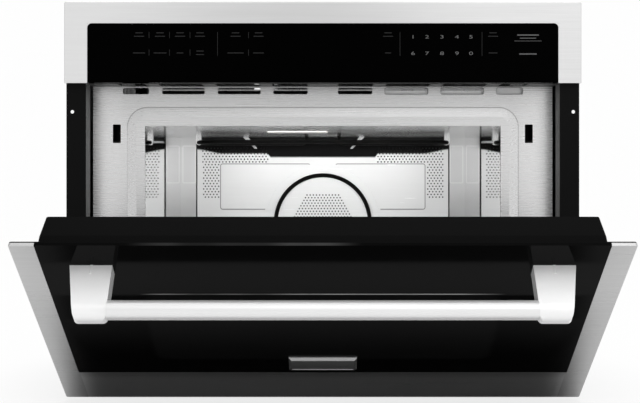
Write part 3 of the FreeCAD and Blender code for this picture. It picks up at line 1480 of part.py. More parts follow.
def roller_ring():
    centre = V(0, turn_y, roller_z - carrier_ring_height / 2)
    outer = carrier_ring_radius + carrier_ring_width / 2
    ring = rod(centre, V(0, 0, 1), outer, carrier_ring_height)
    ring = ring.cut(rod(centre - V(0, 0, overrun), V(0, 0, 1), outer - carrier_ring_width,
                        carrier_ring_height + 2 * overrun))
    x0 = track_radius - roller_width / 2
    roller = rod(V(x0, turn_y, roller_z), V(1, 0, 0), roller_radius, roller_width)
    axle = rod(V(carrier_ring_radius, turn_y, roller_z), V(1, 0, 0), axle_radius,
               track_radius + roller_width / 2 + axle_radius - carrier_ring_radius)
    wheel = roller.fuse(axle)
    return ring.multiFuse(around(wheel, roller_count, V(0, turn_y, 0), V(0, 0, 1)))


def turntable_tray():
    r, z, t = tray_radius, tray_z, tray_sheet
    section = [(0, z), (r - tray_rim_width, z), (r, z + tray_rim_height - t / 2),
               (r, z + tray_rim_height), (r - t / 2, z + tray_rim_height),
               (r - tray_rim_width - t / 2, z + t), (0, z + t)]
    face = Part.Face(Part.makePolygon([V(a, turn_y, b) for a, b in section + section[:1]]))
    return face.revolve(V(0, turn_y, 0), V(0, 0, 1), 360)


save("turntable_motor", turntable_motor())
save("drive_coupler", drive_coupler())
save("roller_ring", roller_ring())
save("turntable_tray", turntable_tray())

# Door, modelled closed: depths count from its front plane, heights from its lower edge.
door_strip = 31.4
door_foot = 74.6
glass_front = 0.3
door_glass_sheet = 4.0
liner_side_gap = 1.9          # liner inside the recess side
liner_low = 14.0
liner_drop = 11.0             # liner's top below the door's
liner_wall = 2.0
liner_step = 23.0             # its straight part ends behind the front plane
liner_gap = 7.0               # liner's back in front of the front plate
liner_taper = 3.0
liner_radius = 4.0
flange_gap = 0.4
view_inset = 54.5             # viewing opening inside the cavity side
view_low = 100.0
view_drop = 95.0              # its top below the door's
view_radius = 8.0
inner_side = 13.0             # inner glass beyond the opening's sides
inner_lap = 8.0               # and beyond its top and bottom
inner_sheet = 3.0
choke_side = 20.5             # moulded frame beyond the cavity side
choke_low = 50.0
choke_drop = 40.0             # its top below the door's
choke_depth = 3.5
choke_radius = 10.0
screen_sheet = 0.8
screen_margin = 7.0
screen_rows = 22
screen_bar_share = 0.4
arm_cut_half = 3.5
arm_cut_run = 10.0            # door arm's slot before the liner's back
arm_cut_rise = 38.0
glass_back = glass_front + door_glass_sheet
skin_depth = glass_back
liner_half = half_recess - liner_side_gap
liner_high = door_height - liner_drop
liner_depth = plate_setback - liner_gap
view_half = half_cavity - view_inset
view_high = door_height - view_drop
inner_half = view_half + inner_side
inner_low = view_low - inner_lap
inner_high = view_high + inner_lap
choke_half = half_cavity + choke_side
choke_high = door_height - choke_drop


def depth(d):
    return front_y + d


def height(h):
    return door_z0 + h


def door_skin():
    """Stainless side strips and foot, folded back round a hollow."""
    t = trim_sheet
    low = half_face - door_strip

    def frame(grow, y0, y1):
        out, side, foot = half_face - grow, low + grow, height(door_foot) - grow
        bottom, top = door_z0 + grow, door_z1 - grow
        corners = [(-out, bottom), (out, bottom), (out, top), (side, top), (side, foot), (-side, foot),
                   (-side, top), (-out, top)]
        return Part.Face(polygon("xz", corners, y0)).extrude(V(0, y1 - y0, 0))

    body = frame(0, front_y, depth(skin_depth))
    corners = [edge for edge in body.Edges if abs(edge.Length - skin_depth) < fit
               and abs(abs(edge.CenterOfMass.x) - half_face) < fit]
    body = body.makeFillet(edge_radius, corners)
    bends = [edge for edge in body.Edges if abs(edge.Length - skin_depth) < fit
             and abs(abs(edge.CenterOfMass.x) - low) < fit
             and abs(edge.CenterOfMass.z - height(door_foot)) < fit]
    body = body.makeFillet(window_radius, bends)
    rim = [edge for edge in body.Edges if abs(edge.CenterOfMass.y - front_y) < fit / 4
           and (abs(edge.CenterOfMass.x) > low + fit or edge.CenterOfMass.z < door_z0 + fit)]
    body = body.makeFillet(trim_sheet, rim)
    return body.cut(frame(t, front_y + t, depth(skin_depth + overrun)))


handle_drop = 50.5            # bar's centre below the door's top
handle_reach = 59.0
handle_radius = 12.0
handle_inset = 35.6           # arm's foot inside the glass's edge
handle_arm_width = 52.5
handle_arm_taper = 12.5       # narrower at its tip
handle_arm_above = 8.8        # arm's upper and lower side from the bar's centre
handle_arm_below = 12.5
handle_arm_front = 71.0
handle_arm_round = 6.0
handle_nose = 16.0            # arm's upper side rolls over into its tip
handle_edge_round = 1.5
spigot_radius = 6.0
spigot_length = 8.0
handle_screw_out = 25.5       # screws outside the arm's inner side
handle_screw_spread = 7.0
handle_screw_radius = 2.5
handle_screw_grip = 12.0
handle_screw_head = 5.0
handle_screw_height = 3.0
handle_centre = door_height - handle_drop
handle_arm_root = half_face - door_strip - handle_inset
handle_arm_in = handle_arm_root - handle_arm_width
handle_arm_tip = handle_arm_root - handle_arm_taper
handle_screw_x = handle_arm_in + handle_screw_out


def handle_screw_places():
    return [(side * handle_screw_x, height(handle_centre + up * handle_screw_spread))
            for side in (-1, 1) for up in (-1, 1)]


def door_glass():
    x = half_face - door_strip - glass_gap
    holes = [circle("xz", a, b, handle_screw_radius + fit, depth(glass_front))
             for a, b in handle_screw_places()]
    return sheet("xz", rounded("xz", -x, x, height(door_foot + glass_gap), door_z1, window_radius,
                               depth(glass_front)), holes, door_glass_sheet)


# Latch hooks and their posts in the door
hook_rest_drop = 0.05         # hook's middle below its slot's middle
hook_pivot_run = 14.0         # hook's pivot before the liner's back
hook_reach = 18.0             # hook's tip behind the front plate's front
hook_pin_radius = 2.5
hook_boss = 6.0
hook_tip_radius = 4.0
hook_half = 2.5
hook_beak = 5.5
hook_beak_width = 6.0
post_gap = 0.5
post_sheet = 2.5
post_run = 22.0               # posts before the liner's back
post_half = 11.0
hook_slot_half = 4.0
hook_slot_rise = 10.5
hook_level = door_height - latch_below_door - hook_rest_drop
hook_pivot_depth = liner_depth - hook_pivot_run
hook_tip_depth = plate_setback + hook_reach
post_depth = liner_depth - post_run


def door_liner():
    """Deep black tray with a flange in the skin, the viewing opening, slots for the
    door arms and hooks, and the hooks' posts."""
    x, low, high, t = liner_half, height(liner_low), height(liner_high), liner_wall
    d0, d1, d2 = depth(glass_back), depth(liner_step), depth(liner_depth)

    def hull(inset, front, back):
        def ring(shrink, at):
            s = inset + shrink
            return rounded("xz", -x + s, x - s, low + s, high - s, liner_radius, at)
        straight = Part.Face(ring(0, front)).extrude(V(0, d1 - front, 0))
        return straight.fuse(Part.makeLoft([ring(0, d1), ring(liner_taper, back)], True, True))

    edge = half_face - flange_gap
    flange = sheet("xz", rounded("xz", -edge, edge, door_z0 + flange_gap, door_z1 - flange_gap,
                                 edge_radius, d0),
                   [rounded("xz", -x + t, x - t, low + t, high - t, liner_radius, d0)], t)
    tray = hull(0, d0, d2).cut(hull(t, d0 - overrun, d2 - t)).fuse(flange)
    view = rounded("xz", -view_half, view_half, height(view_low), height(view_high), view_radius,
                   d2 - 2 * t)
    cuts = [Part.Face(view).extrude(V(0, 2 * overrun, 0))]
    posts = []
    for side in (-1, 1):
        a = side * hinge_x
        cuts.append(block(a - arm_cut_half, a + arm_cut_half, depth(liner_depth - arm_cut_run), d2 + overrun,
                          low - overrun, height(arm_cut_rise)))
        b, h = side * latch_slot_x, height(hook_level)
        cuts.append(block(b - hook_slot_half, b + hook_slot_half, d2 - overrun, d2 + overrun,
                          h - hook_slot_rise, h + hook_slot_rise))
        for way in (-1, 1):
            inner = b + way * (hook_half + post_gap)
            posts.append(block(inner, inner + way * post_sheet, depth(post_depth), d2 - t,
                               h - post_half, h + post_half))
        reach = hook_half + post_gap + post_sheet
        posts.append(rod(V(b - reach, depth(hook_pivot_depth), h), V(1, 0, 0), hook_pin_radius, 2 * reach))
    return tray.cut(Part.makeCompound(cuts)).multiFuse(posts)


def door_screen():
    """Perforated sheet behind the viewing opening, its rows standing as slots."""
    y = depth(liner_depth - liner_wall) - screen_sheet
    m = screen_margin
    pitch = (view_high - view_low) / screen_rows
    rows = []
    for row in range(screen_rows):
        z = height(view_low + pitch * (row + screen_bar_share))
        for side in (-1, 1):
            a, b = sorted((side * m / 2, side * (view_half - m / 2)))
            rows.append(rectangle("xz", a, b, z, z + pitch * screen_bar_share, y))
    outline = rectangle("xz", -view_half - m, view_half + m, height(view_low - m), height(view_high + m), y)
    return sheet("xz", outline, rows, screen_sheet)


def inner_glass():
    return sheet("xz", rounded("xz", -inner_half, inner_half, height(inner_low), height(inner_high),
                               view_radius, depth(liner_depth)), [], inner_sheet)


def choke_cover():
    """Moulded frame over the wave trap, round the inner glass."""
    gap = glass_gap
    hole = rounded("xz", -inner_half - gap, inner_half + gap, height(inner_low) - gap,
                   height(inner_high) + gap, view_radius, depth(liner_depth))
    return sheet("xz", rounded("xz", -choke_half, choke_half, height(choke_low), height(choke_high),
                               choke_radius, depth(liner_depth)), [hole], choke_depth)


# Handle: a round bar between two cast arms, screwed through the glass from inside.
def handle_bar():
    y, z = depth(-handle_reach), height(handle_centre)
    bar = rod(V(-handle_arm_in, y, z), V(1, 0, 0), handle_radius, 2 * handle_arm_in)
    return bar.fuse(rod(V(-handle_arm_in - spigot_length, y, z), V(1, 0, 0), spigot_radius,
                        2 * (handle_arm_in + spigot_length)))


def handle_arms():
    """Cast arms, tapered in plan, the upper side rolled over into the tip."""
    z0, z1 = height(handle_centre - handle_arm_below), height(handle_centre + handle_arm_above)
    root, tip = depth(glass_front), depth(-handle_arm_front)
    corners = [(handle_arm_in, root), (handle_arm_root, root), (handle_arm_tip, tip), (handle_arm_in, tip)]
    arm = sheet("xy", polygon("xy", corners, z0), [], z1 - z0)
    tips = [edge for edge in arm.Edges if abs(edge.Length - (z1 - z0)) < fit
            and edge.CenterOfMass.y < depth(-handle_reach)]
    arm = arm.makeFillet(handle_arm_round, tips)
    rim = [edge for edge in arm.Edges if abs(edge.CenterOfMass.z - z0) < fit / 4
           and edge.CenterOfMass.y < root - fit]
    arm = arm.makeFillet(handle_edge_round, rim)
    bend, fall = tip + handle_nose, handle_nose * (1 - math.sqrt(0.5))
    start, middle, stop = V(0, bend, z1), V(0, tip + fall, z1 - fall), V(0, tip, z1 - handle_nose)
    side = [Part.Arc(start, middle, stop).toShape()]
    for a, b in ((stop, V(0, tip, z0)), (V(0, tip, z0), V(0, root, z0)), (V(0, root, z0), V(0, root, z1)),
                 (V(0, root, z1), start)):
        side.append(Part.LineSegment(a, b).toShape())
    arm = arm.common(Part.Face(Part.Wire(side)).extrude(V(half_face, 0, 0)))
    holes = [rod(V(handle_arm_in - overrun, depth(-handle_reach), height(handle_centre)), V(1, 0, 0),
                 spigot_radius, spigot_length + overrun)]
    holes += [rod(V(a, depth(glass_front + overrun), b), V(0, -1, 0), handle_screw_radius,
                  handle_screw_grip + overrun) for a, b in handle_screw_places() if a > 0]
    return both_sides(arm.cut(Part.makeCompound(holes)))


def handle_screws():
    reach = glass_back - glass_front + handle_screw_grip
    return Part.makeCompound([screw(V(a, depth(glass_back), b), V(0, 1, 0), handle_screw_head,
                                    handle_screw_height, handle_screw_radius, reach)
                              for a, b in handle_screw_places()])


save("door_skin", swing(door_skin()))
save("door_glass", swing(door_glass()))
save("door_liner", swing(door_liner()))
save("door_screen", swing(door_screen()))
save("inner_glass", swing(inner_glass()))
save("choke_cover", swing(choke_cover()))
save("handle_bar", swing(handle_bar()))
save("handle_arms", swing(handle_arms()))
save("handle_screws", swing(handle_screws()))


# Latch hooks: they turn on the posts' pins and reach through the front plate into
# moulded brackets, which carry two switches each.
def latch_hook(side):
    h = height(hook_level)
    x = side * latch_slot_x - hook_half
    pivot, tip = (depth(hook_pivot_depth), h), (depth(hook_tip_depth), h)
    hook = sheet("yz", link("yz", pivot, hook_boss, tip, hook_tip_radius, x), [], 2 * hook_half)
    beak = [(tip[0] - hook_beak_width, h), (tip[0] + hook_tip_radius / 2, h),
            (tip[0] - hook_tip_radius / 2, h - hook_tip_radius - hook_beak),
            (tip[0] - hook_beak_width, h - hook_tip_radius - hook_beak)]
    hook = hook.fuse(sheet("yz", polygon("yz", beak, x), [], 2 * hook_half))
    return hook.cut(rod(V(x - overrun, *pivot), V(1, 0, 0), hook_pin_radius + pin_play,
                        2 * (hook_half + overrun)))


bracket_half = 14.0
bracket_depth = 46.0
bracket_low = 24.0
bracket_high = 26.0
passage_half = 6.0
passage_depth = 34.0
passage_low = 11.8
passage_high = 14.0
switch_depth = 20.0
switch_width = 6.5
switch_height = 16.0
switch_step = 22.0
lever_sheet = 0.6


def latch_brackets():
    z, y = latch_slot_z, plate_back_y
    x = latch_slot_x
    body = block(x - bracket_half, x + bracket_half, y, y + bracket_depth, z - bracket_low,
                 z + bracket_high)
    passage = block(x - passage_half, x + passage_half, y - overrun, y + passage_depth,
                    z - passage_low, z + passage_high)
    body = body.makeFillet(edge_radius, [edge for edge in body.Edges
                                         if edge.CenterOfMass.y > y + bracket_depth - fit])
    return both_sides(body.cut(passage))


def interlock_switches():
    """Two small switches on each bracket's outer side, with lever and terminals."""
    x = latch_slot_x + bracket_half
    pieces = []
    for row in (0, 1):
        z = latch_slot_z - bracket_low + edge_radius + row * switch_step
        y = plate_back_y + switch_depth / 2
        case = block(x, x + switch_width, y, y + switch_depth, z, z + switch_height)
        lever = block(x, x + switch_width, y - switch_depth / 4, y + switch_depth / 2,
                      z + switch_height, z + switch_height + lever_sheet)
        tabs = [block(x + switch_width / 2, x + switch_width / 2 + tab_sheet, y + switch_depth,
                      y + switch_depth + switch_width, z + step, z + step + tab_width / 2)
                for step in (switch_height / 4, switch_height / 2)]
        pieces.append(case.multiFuse([lever] + tabs))
    return Part.makeCompound(pieces + [mirror_x(piece) for piece in pieces])


save("latch_hook_left", swing(latch_hook(-1)))
save("latch_hook_right", swing(latch_hook(1)))
save("latch_brackets", latch_brackets())
save("interlock_switches", interlock_switches())

# Door hinges: fork brackets on the base pan, the pins, the flat arms fixed in the door,
# and the balance springs between the arms' tails and the brackets.
arm_half = 2.0
arm_boss = 8.0
boss_half = 7.9
arm_neck_run = 38.0           # neck's end before and above the pin
arm_neck_rise = 52.0
arm_plate_front = 16.0
arm_plate_low = 20.0
arm_plate_high = 98.0
arm_flange_half = 12.0
arm_flange_low = 46.0
arm_flange_sheet = 2.0
tail_run = 18.0               # tail's eye behind and above the pin, door closed
tail_rise = 26.0
tail_radius = 6.0
tail_eye = 2.0
fork_gap = 8.0
fork_sheet = 2.0
fork_front = 14.0
fork_length = 176.0
fork_low_rise = 30.0
fork_high_rise = 52.0
fork_slope_start = 46.0       # behind the fork's front
fork_slope_run = 80.0
fork_foot = 14.0
anchor_inset = 12.0           # spring's anchor before the fork's rear
anchor_rise = 34.0
anchor_radius = 2.5
pin_head_radius = 6.0
pin_head_sheet = 1.5
spring_radius = 6.0
spring_bore = 4.6
spring_hook_radius = 1.2
spring_hook_run = 13.0
spring_hook_x = 4.5
spring_pin_radius = 1.0
arm_plate_back = liner_depth - liner_wall - arm_flange_sheet
fork_front_y = pin_y - fork_front
fork_rear_y = fork_front_y + fork_length
anchor_y = fork_rear_y - anchor_inset


def hinge_arms():
    x = hinge_x - arm_half
    pin = (pin_y, pin_z)
    neck_end = (pin_y - arm_neck_run, pin_z + arm_neck_rise)
    tail = (pin_y + tail_run, pin_z + tail_rise)
    neck = sheet("yz", link("yz", pin, arm_boss, neck_end, arm_boss - fit, x), [], 2 * arm_half)
    rear = sheet("yz", link("yz", pin, arm_boss, tail, tail_radius, x), [], 2 * arm_half)
    plate = block(x, x + 2 * arm_half, depth(arm_plate_front), depth(arm_plate_back + liner_wall),
                  height(arm_plate_low), height(arm_plate_high))
    flange = block(hinge_x - arm_flange_half, hinge_x + arm_flange_half, depth(arm_plate_back),
                   depth(liner_depth - liner_wall), height(arm_flange_low), height(arm_plate_high))
    boss = rod(V(hinge_x - boss_half, pin_y, pin_z), V(1, 0, 0), arm_boss, 2 * boss_half)
    bore = rod(V(hinge_x - 2 * boss_half, pin_y, pin_z), V(1, 0, 0), pin_radius + pin_play, 4 * boss_half)
    eye = rod(V(x - overrun, *tail), V(1, 0, 0), tail_eye, 2 * (arm_half + overrun))
    arm = neck.multiFuse([rear, plate, flange, boss]).cut(Part.makeCompound([bore, eye]))
    return both_sides(arm)


def hinge_brackets():
    z0, y0, y1 = pan_top, fork_front_y, fork_rear_y
    low, high = z0 + fork_low_rise, z0 + fork_high_rise
    slope = y0 + fork_slope_start
    corners = [(y0, z0), (y1, z0), (y1, high), (slope + fork_slope_run, high), (slope, low), (y0, low)]
    pieces = []
    for side in (-1, 1):
        inner = hinge_x + side * fork_gap
        outer = inner + side * fork_sheet
        x = min(inner, outer)
        pieces.append(sheet("yz", polygon("yz", corners, x), [], fork_sheet))
        pieces.append(block(inner, outer + side * fork_foot, y0, y1, z0, z0 + fork_sheet))
    reach = fork_gap + fork_sheet
    pieces.append(block(hinge_x - reach, hinge_x + reach, y1 - fork_sheet, y1, z0, high))
    pieces.append(rod(V(hinge_x - reach, anchor_y, z0 + anchor_rise), V(1, 0, 0), anchor_radius, 2 * reach))
    fork = pieces[0].multiFuse(pieces[1:])
    hole = rod(V(hinge_x - 2 * reach, pin_y, pin_z), V(1, 0, 0), pin_radius, 4 * reach)
    return both_sides(fork.cut(hole))


def hinge_pins():
    reach = fork_gap + fork_sheet
    pin = rod(V(hinge_x - reach - pin_head_sheet, pin_y, pin_z), V(1, 0, 0), pin_radius,
              2 * (reach + pin_head_sheet))
    heads = [rod(V(hinge_x + reach, pin_y, pin_z), V(1, 0, 0), pin_head_radius, pin_head_sheet),
             rod(V(hinge_x - reach, pin_y, pin_z), V(-1, 0, 0), pin_head_radius, pin_head_sheet)]
    return both_sides(pin.multiFuse(heads))


def tail_place():
    """Centre of the arm's tail eye in the rest pose."""
    turn = math.radians(open_angle)
    return V(hinge_x, pin_y + tail_run * math.cos(turn) - tail_rise * math.sin(turn),
             pin_z + tail_rise * math.cos(turn) + tail_run * math.sin(turn))


def hinge_springs():
    """Coil as a tube, a yoke through the arm's tail eye and one round the anchor."""
    start = tail_place()
    stop = V(hinge_x, anchor_y, pan_top + anchor_rise)
    way = (stop - start).normalize()
    run = spring_hook_run
    body = (stop - start).Length - 2 * run
    coil = rod(start + way * run, way, spring_radius, body)
    coil = coil.cut(rod(start + way * (run + spring_hook_radius), way, spring_bore,
                        body - 2 * spring_hook_radius))
    yokes = [rod(start - V(spring_radius, 0, 0), V(1, 0, 0), spring_pin_radius, 2 * spring_radius)]
    for side in (-1, 1):
        shift = V(side * spring_hook_x, 0, 0)
        yokes.append(rod(start + shift, way, spring_hook_radius, run + spring_hook_radius))
        yokes.append(rod(stop + shift - way * anchor_radius, way * -1, spring_hook_radius,
                         run - anchor_radius + spring_hook_radius))
    return both_sides(coil.multiFuse(yokes))


save("hinge_arms", swing(hinge_arms()))
save("hinge_brackets", hinge_brackets())
save("hinge_pins", hinge_pins())
save("hinge_springs", hinge_springs())
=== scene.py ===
import math

import bpy
from mathutils import Matrix, Vector


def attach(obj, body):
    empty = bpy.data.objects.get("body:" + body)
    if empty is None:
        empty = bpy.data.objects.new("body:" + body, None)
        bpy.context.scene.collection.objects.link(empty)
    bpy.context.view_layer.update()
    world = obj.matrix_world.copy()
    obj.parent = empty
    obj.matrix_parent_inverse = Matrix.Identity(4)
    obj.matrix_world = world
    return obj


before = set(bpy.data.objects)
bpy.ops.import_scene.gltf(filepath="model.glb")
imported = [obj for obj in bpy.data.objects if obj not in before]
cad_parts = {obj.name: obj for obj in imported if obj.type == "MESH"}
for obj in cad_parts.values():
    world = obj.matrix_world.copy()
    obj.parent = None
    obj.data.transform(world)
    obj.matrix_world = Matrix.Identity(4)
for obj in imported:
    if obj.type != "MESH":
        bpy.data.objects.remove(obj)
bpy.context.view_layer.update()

scene = bpy.context.scene
scene.view_settings.view_transform = "Standard"
MM = 0.001

# Camera: it stands 1.59 m before the trim's face, level with the middle of the cavity, and
# looks straight at it. Its shifts are shares of the picture's width.
FACE_Y = -276 * MM
CAMERA_AWAY = 1.59
CAMERA_HEIGHT = 275 * MM
CAMERA_LENS = 61.22
SENSOR_WIDE = 36.0
SHIFT_X = -0.0044
SHIFT_Y = -0.0258
NEAREST_SEEN = 50 * MM
STANDING = (math.radians(90), 0, 0)
camera = bpy.data.cameras.new("camera")
camera.lens = CAMERA_LENS
camera.sensor_width = SENSOR_WIDE
camera.shift_x = SHIFT_X
camera.shift_y = SHIFT_Y
camera.clip_start = NEAREST_SEEN
eye = bpy.data.objects.new("camera", camera)
scene.collection.objects.link(eye)
eye.location = (0.0, FACE_Y - CAMERA_AWAY, CAMERA_HEIGHT)
eye.rotation_euler = STANDING
scene.camera = eye

# Floor and backdrop: one pale sheet, just below the door's edge where it hangs lowest, and
# turned up far behind. It keeps the shade under the oven, and shows white elsewhere. For
# mirror rays its colour holds painted shade: dark below the oven, below the foot of its
# hanging door, and along a narrow strip in front.
FLOOR_Z = -41 * MM
FLOOR_WIDE = 14
FLOOR_DEEP = 9
BACKDROP_HIGH = 5
PAPER = 0.86
PAINTED_FLOOR_SHADE = 0.1
SHADE_HALF = 620 * MM
SHADE_Y = -120 * MM
SHADE_FADE = (0.6, 0.98)
SHADE_WHITE = 0.8
MOST_WHITE = 0.97
UNDER_DOOR = (320 * MM, 460 * MM)
UNDER_DOOR_WHITE = 0.75
DOOR_EDGE = (464 * MM, 471 * MM)
DOOR_EDGE_WHITE = 0.12
PAINTED_SHADE_STRIP_Y = -400 * MM
PAINTED_SHADE_STRIP_HALF = 18 * MM
BESIDE_OVEN = (290 * MM, 410 * MM)
BESIDE_WHITE = 0.55
BESIDE_CURVE = 3.3
FAR_ASIDE = (420 * MM, 600 * MM)
FAR_ASIDE_WHITE = 0.4
FAR_BEFORE = (580 * MM, 620 * MM)
FAR_BEHIND = (270 * MM, 350 * MM)


class Signal:
    """A socket among a finish's nodes, so that sums on it are plain expressions."""

    def __init__(self, nodes, socket):
        self.nodes, self.socket = nodes, socket

    def maths(self, operation, *others):
        return self.nodes.node("Math", {"operation": operation}, self, *others)

    def __add__(self, other):
        return self.maths("ADD", other)

    def __sub__(self, other):
        return self.maths("SUBTRACT", other)

    def __rsub__(self, other):
        return self.nodes.node("Math", {"operation": "SUBTRACT"}, other, self)

    def __mul__(self, other):
        return self.maths("MULTIPLY", other)

    def __truediv__(self, other):
        return self.maths("DIVIDE", other)

    def __pow__(self, other):
        return self.maths("POWER", other)

    def __gt__(self, other):
        return self.maths("GREATER_THAN", other)

    def __lt__(self, other):
        return self.maths("LESS_THAN", other)

    def __neg__(self):
        return self * -1

    def __abs__(self):
        return self.maths("ABSOLUTE")

    def at_least(self, other):
        return self.maths("MAXIMUM", other)

    def at_most(self, other):
        return self.maths("MINIMUM", other)

    def ramp(self, low, high, start=0.0, stop=1.0):
        """start below low, stop above high, and a smooth step between."""
        settings = {"interpolation_type": "SMOOTHSTEP"}
        return self.nodes.node("MapRange", settings, self, low, high, start, stop)

    def line(self, near, far, strength=1.0):
        """strength where this is nearer to zero than near, and nothing farther than far."""
        return abs(self).ramp(near, far, strength, 0.0)

    __radd__ = __add__


class Nodes:
    """A node tree in which any node is made from its type, settings and sockets' values."""

    def __init__(self, tree):
        self.tree = tree

    def put(self, socket, value):
        if isinstance(value, Signal):
            self.tree.links.new(value.socket, socket)
        elif isinstance(value, (tuple, list)) and socket.type == "RGBA":
            socket.default_value = (*value[:3], 1.0)
        else:
            socket.default_value = value

    def node(self, kind, settings, *values, output=0):
        made = self.tree.nodes.new("ShaderNode" + kind)
        for key, value in settings.items():
            setattr(made, key, value)
        for socket, value in zip(made.inputs, values):
            if value is not None:
                self.put(socket, value)
        return Signal(self, made.outputs[output])

    def axes(self, spot):
        """X, Y and Z of a place or direction as three signals."""
        parts = self.node("SeparateXYZ", {}, spot).socket.node
        return [Signal(self, socket) for socket in parts.outputs]

    def light_path(self, *kinds):
        """1 for a ray of any of these kinds."""
        rays = self.node("LightPath", {}).socket.node.outputs
        first, *others = [Signal(self, rays["Is " + kind + " Ray"]) for kind in kinds]
        for other in others:
            first = first.at_least(other)
        return first

    def show(self, share, low, high):
        """Send a mixture of two shaders to the tree's output."""
        ends = [node for node in self.tree.nodes
                if node.type in ("OUTPUT_MATERIAL", "OUTPUT_WORLD")]
        mixed = self.node("MixShader", {}, share, low, high)
        self.tree.links.new(mixed.socket, ends[0].inputs["Surface"])


class Finish(Nodes):
    """A procedural finish: the settings of its surface, and patterns laid over them."""

    def __init__(self, name, colour, rough, metal=0.0, **settings):
        self.material = bpy.data.materials.new(name)
        self.material.use_nodes = True
        super().__init__(self.material.node_tree)
        self.shader = self.tree.nodes["Principled BSDF"]
        self.set("Base Color", colour)
        self.set("Roughness", rough)
        self.set("Metallic", metal)
        for key, value in settings.items():
            self.set(key.replace("_", " ").title().replace("Ior", "IOR"), value)

    def set(self, name, value):
        self.put(self.shader.inputs[name], value)

    def place(self, stretch=(1, 1, 1)):
        """Places on the object in metres, stretched."""
        spot = self.node("TexCoord", {}, output="Object")
        return self.node("Mapping", {}, spot, None, None, stretch)

    def xyz(self):
        """X, Y and Z on the object in metres."""
        return self.axes(self.place())

    def noise(self, spot, scale, detail=2.0, rough=0.5):
        return self.node("TexNoise", {}, spot, None, scale, detail, rough)

    def cells(self, spot, scale, output="Distance"):
        return self.node("TexVoronoi", {}, spot, None, scale, output=output)

    def oblong(self, x, z, x0, x1, z0, z1, radius):
        """How far a place is outside a rounded oblong, in metres; less than 0 inside."""
        across = abs(x - (x0 + x1) / 2) - ((x1 - x0) / 2 - radius)
        along = abs(z - (z0 + z1) / 2) - ((z1 - z0) / 2 - radius)
        outside = (across.at_least(0) ** 2 + along.at_least(0) ** 2) ** 0.5
        return outside + across.at_least(along).at_most(0) - radius

    def mix(self, share, low, high):
        """Colour between two colours."""
        made = self.node("Mix", {"data_type": "RGBA"}, share, output=2).socket.node
        for socket, value in ((made.inputs[6], low), (made.inputs[7], high)):
            self.put(socket, value)
        return Signal(self, made.outputs[2])

    def under(self, share, colour):
        """Lay a colour over what the base colour has so far."""
        base = Signal(self, self.shader.inputs["Base Color"].links[0].from_socket)
        self.set("Base Color", self.mix(share, base, colour))

    def bump(self, heights, depth):
        """Raise the surface by a height signal, in metres."""
        made = self.node("Bump", {}, 1.0, depth).socket.node
        self.put(made.inputs["Height"], heights)
        self.tree.links.new(made.outputs["Normal"], self.shader.inputs["Normal"])


def grey(level):
    return (level, level, level)


def coat(piece, finish):
    """Give a piece one finish all over."""
    piece.data.materials.clear()
    piece.data.materials.append(finish.material)


def fresh():
    """Leave edit mode and deselect everything."""
    if bpy.context.object and bpy.context.object.mode != "OBJECT":
        bpy.ops.object.mode_set(mode="OBJECT")
    bpy.ops.object.select_all(action="DESELECT")


def settle(name):
    """Name the piece in hand, and work its place and size into its mesh."""
    if bpy.context.object.mode != "OBJECT":
        bpy.ops.object.mode_set(mode="OBJECT")
    bpy.ops.object.transform_apply(location=True, rotation=True, scale=True)
    piece = bpy.context.object
    piece.name = name
    return piece


def flat(name, middle, wide, high, turn=(0, 0, 0)):
    """A flat rectangle about its middle, lying down unless it is turned."""
    fresh()
    bpy.ops.mesh.primitive_plane_add(size=1, location=middle, rotation=turn)
    bpy.context.object.scale = (wide, high, 1)
    return settle(name)


def pick(piece, kind, test):
    """Go into edit mode with only those faces, edges or vertices selected that pass a test."""
    if piece.mode != "EDIT":
        bpy.ops.object.mode_set(mode="EDIT")
    bpy.ops.mesh.select_mode(type=kind)
    bpy.ops.mesh.select_all(action="DESELECT")
    bpy.ops.object.mode_set(mode="OBJECT")
    mesh = piece.data
    parts = {"FACE": mesh.polygons, "EDGE": mesh.edges, "VERT": mesh.vertices}[kind]
    for part in parts:
        part.select = bool(test(part))
    bpy.ops.object.mode_set(mode="EDIT")


floor = flat("floor", (0, 0, FLOOR_Z), FLOOR_WIDE, FLOOR_DEEP)
pick(floor, "EDGE", lambda edge: all(floor.data.vertices[v].co.y > 1 for v in edge.vertices))
bpy.ops.mesh.extrude_region_move(TRANSFORM_OT_translate={"value": (0, 0, BACKDROP_HIGH)})
fresh()

paper = Finish("paper", grey(PAPER), 0.9)
x, y, z = paper.xyz()
reach = ((x / SHADE_HALF) ** 2 + ((y - SHADE_Y) / SHADE_HALF) ** 2) ** 0.5
open_floor = reach.ramp(*SHADE_FADE, SHADE_WHITE, 1.0)
before = (-y).ramp(*UNDER_DOOR, 0.0, UNDER_DOOR_WHITE) * (-y).ramp(*DOOR_EDGE, 1.0, DOOR_EDGE_WHITE)
# A narrow strip of painted shade crosses the floor in front, for mirror rays.
before = before * (1 - (abs(y - PAINTED_SHADE_STRIP_Y) < PAINTED_SHADE_STRIP_HALF) * 0.9)
beside = (abs(x).ramp(*BESIDE_OVEN) ** BESIDE_CURVE) * BESIDE_WHITE
white = beside + abs(x).ramp(*FAR_ASIDE) * FAR_ASIDE_WHITE
white = white.at_least(before).at_least((-y).ramp(*FAR_BEFORE)).at_least(y.ramp(*FAR_BEHIND))
mirrored = paper.light_path("Glossy", "Transmission")
# For mirror rays the floor's colour is painted shade where white is low.
paper.set("Base Color", paper.mix(mirrored * (1 - white), grey(PAPER), grey(PAINTED_FLOOR_SHADE)))
glow = paper.node("Emission", {}, grey(1.0), 1.0)
seen = (paper.light_path("Camera") * open_floor).at_least(mirrored * white)
paper.show(seen * MOST_WHITE, Signal(paper, paper.shader.outputs[0]), glow)
coat(floor, paper)

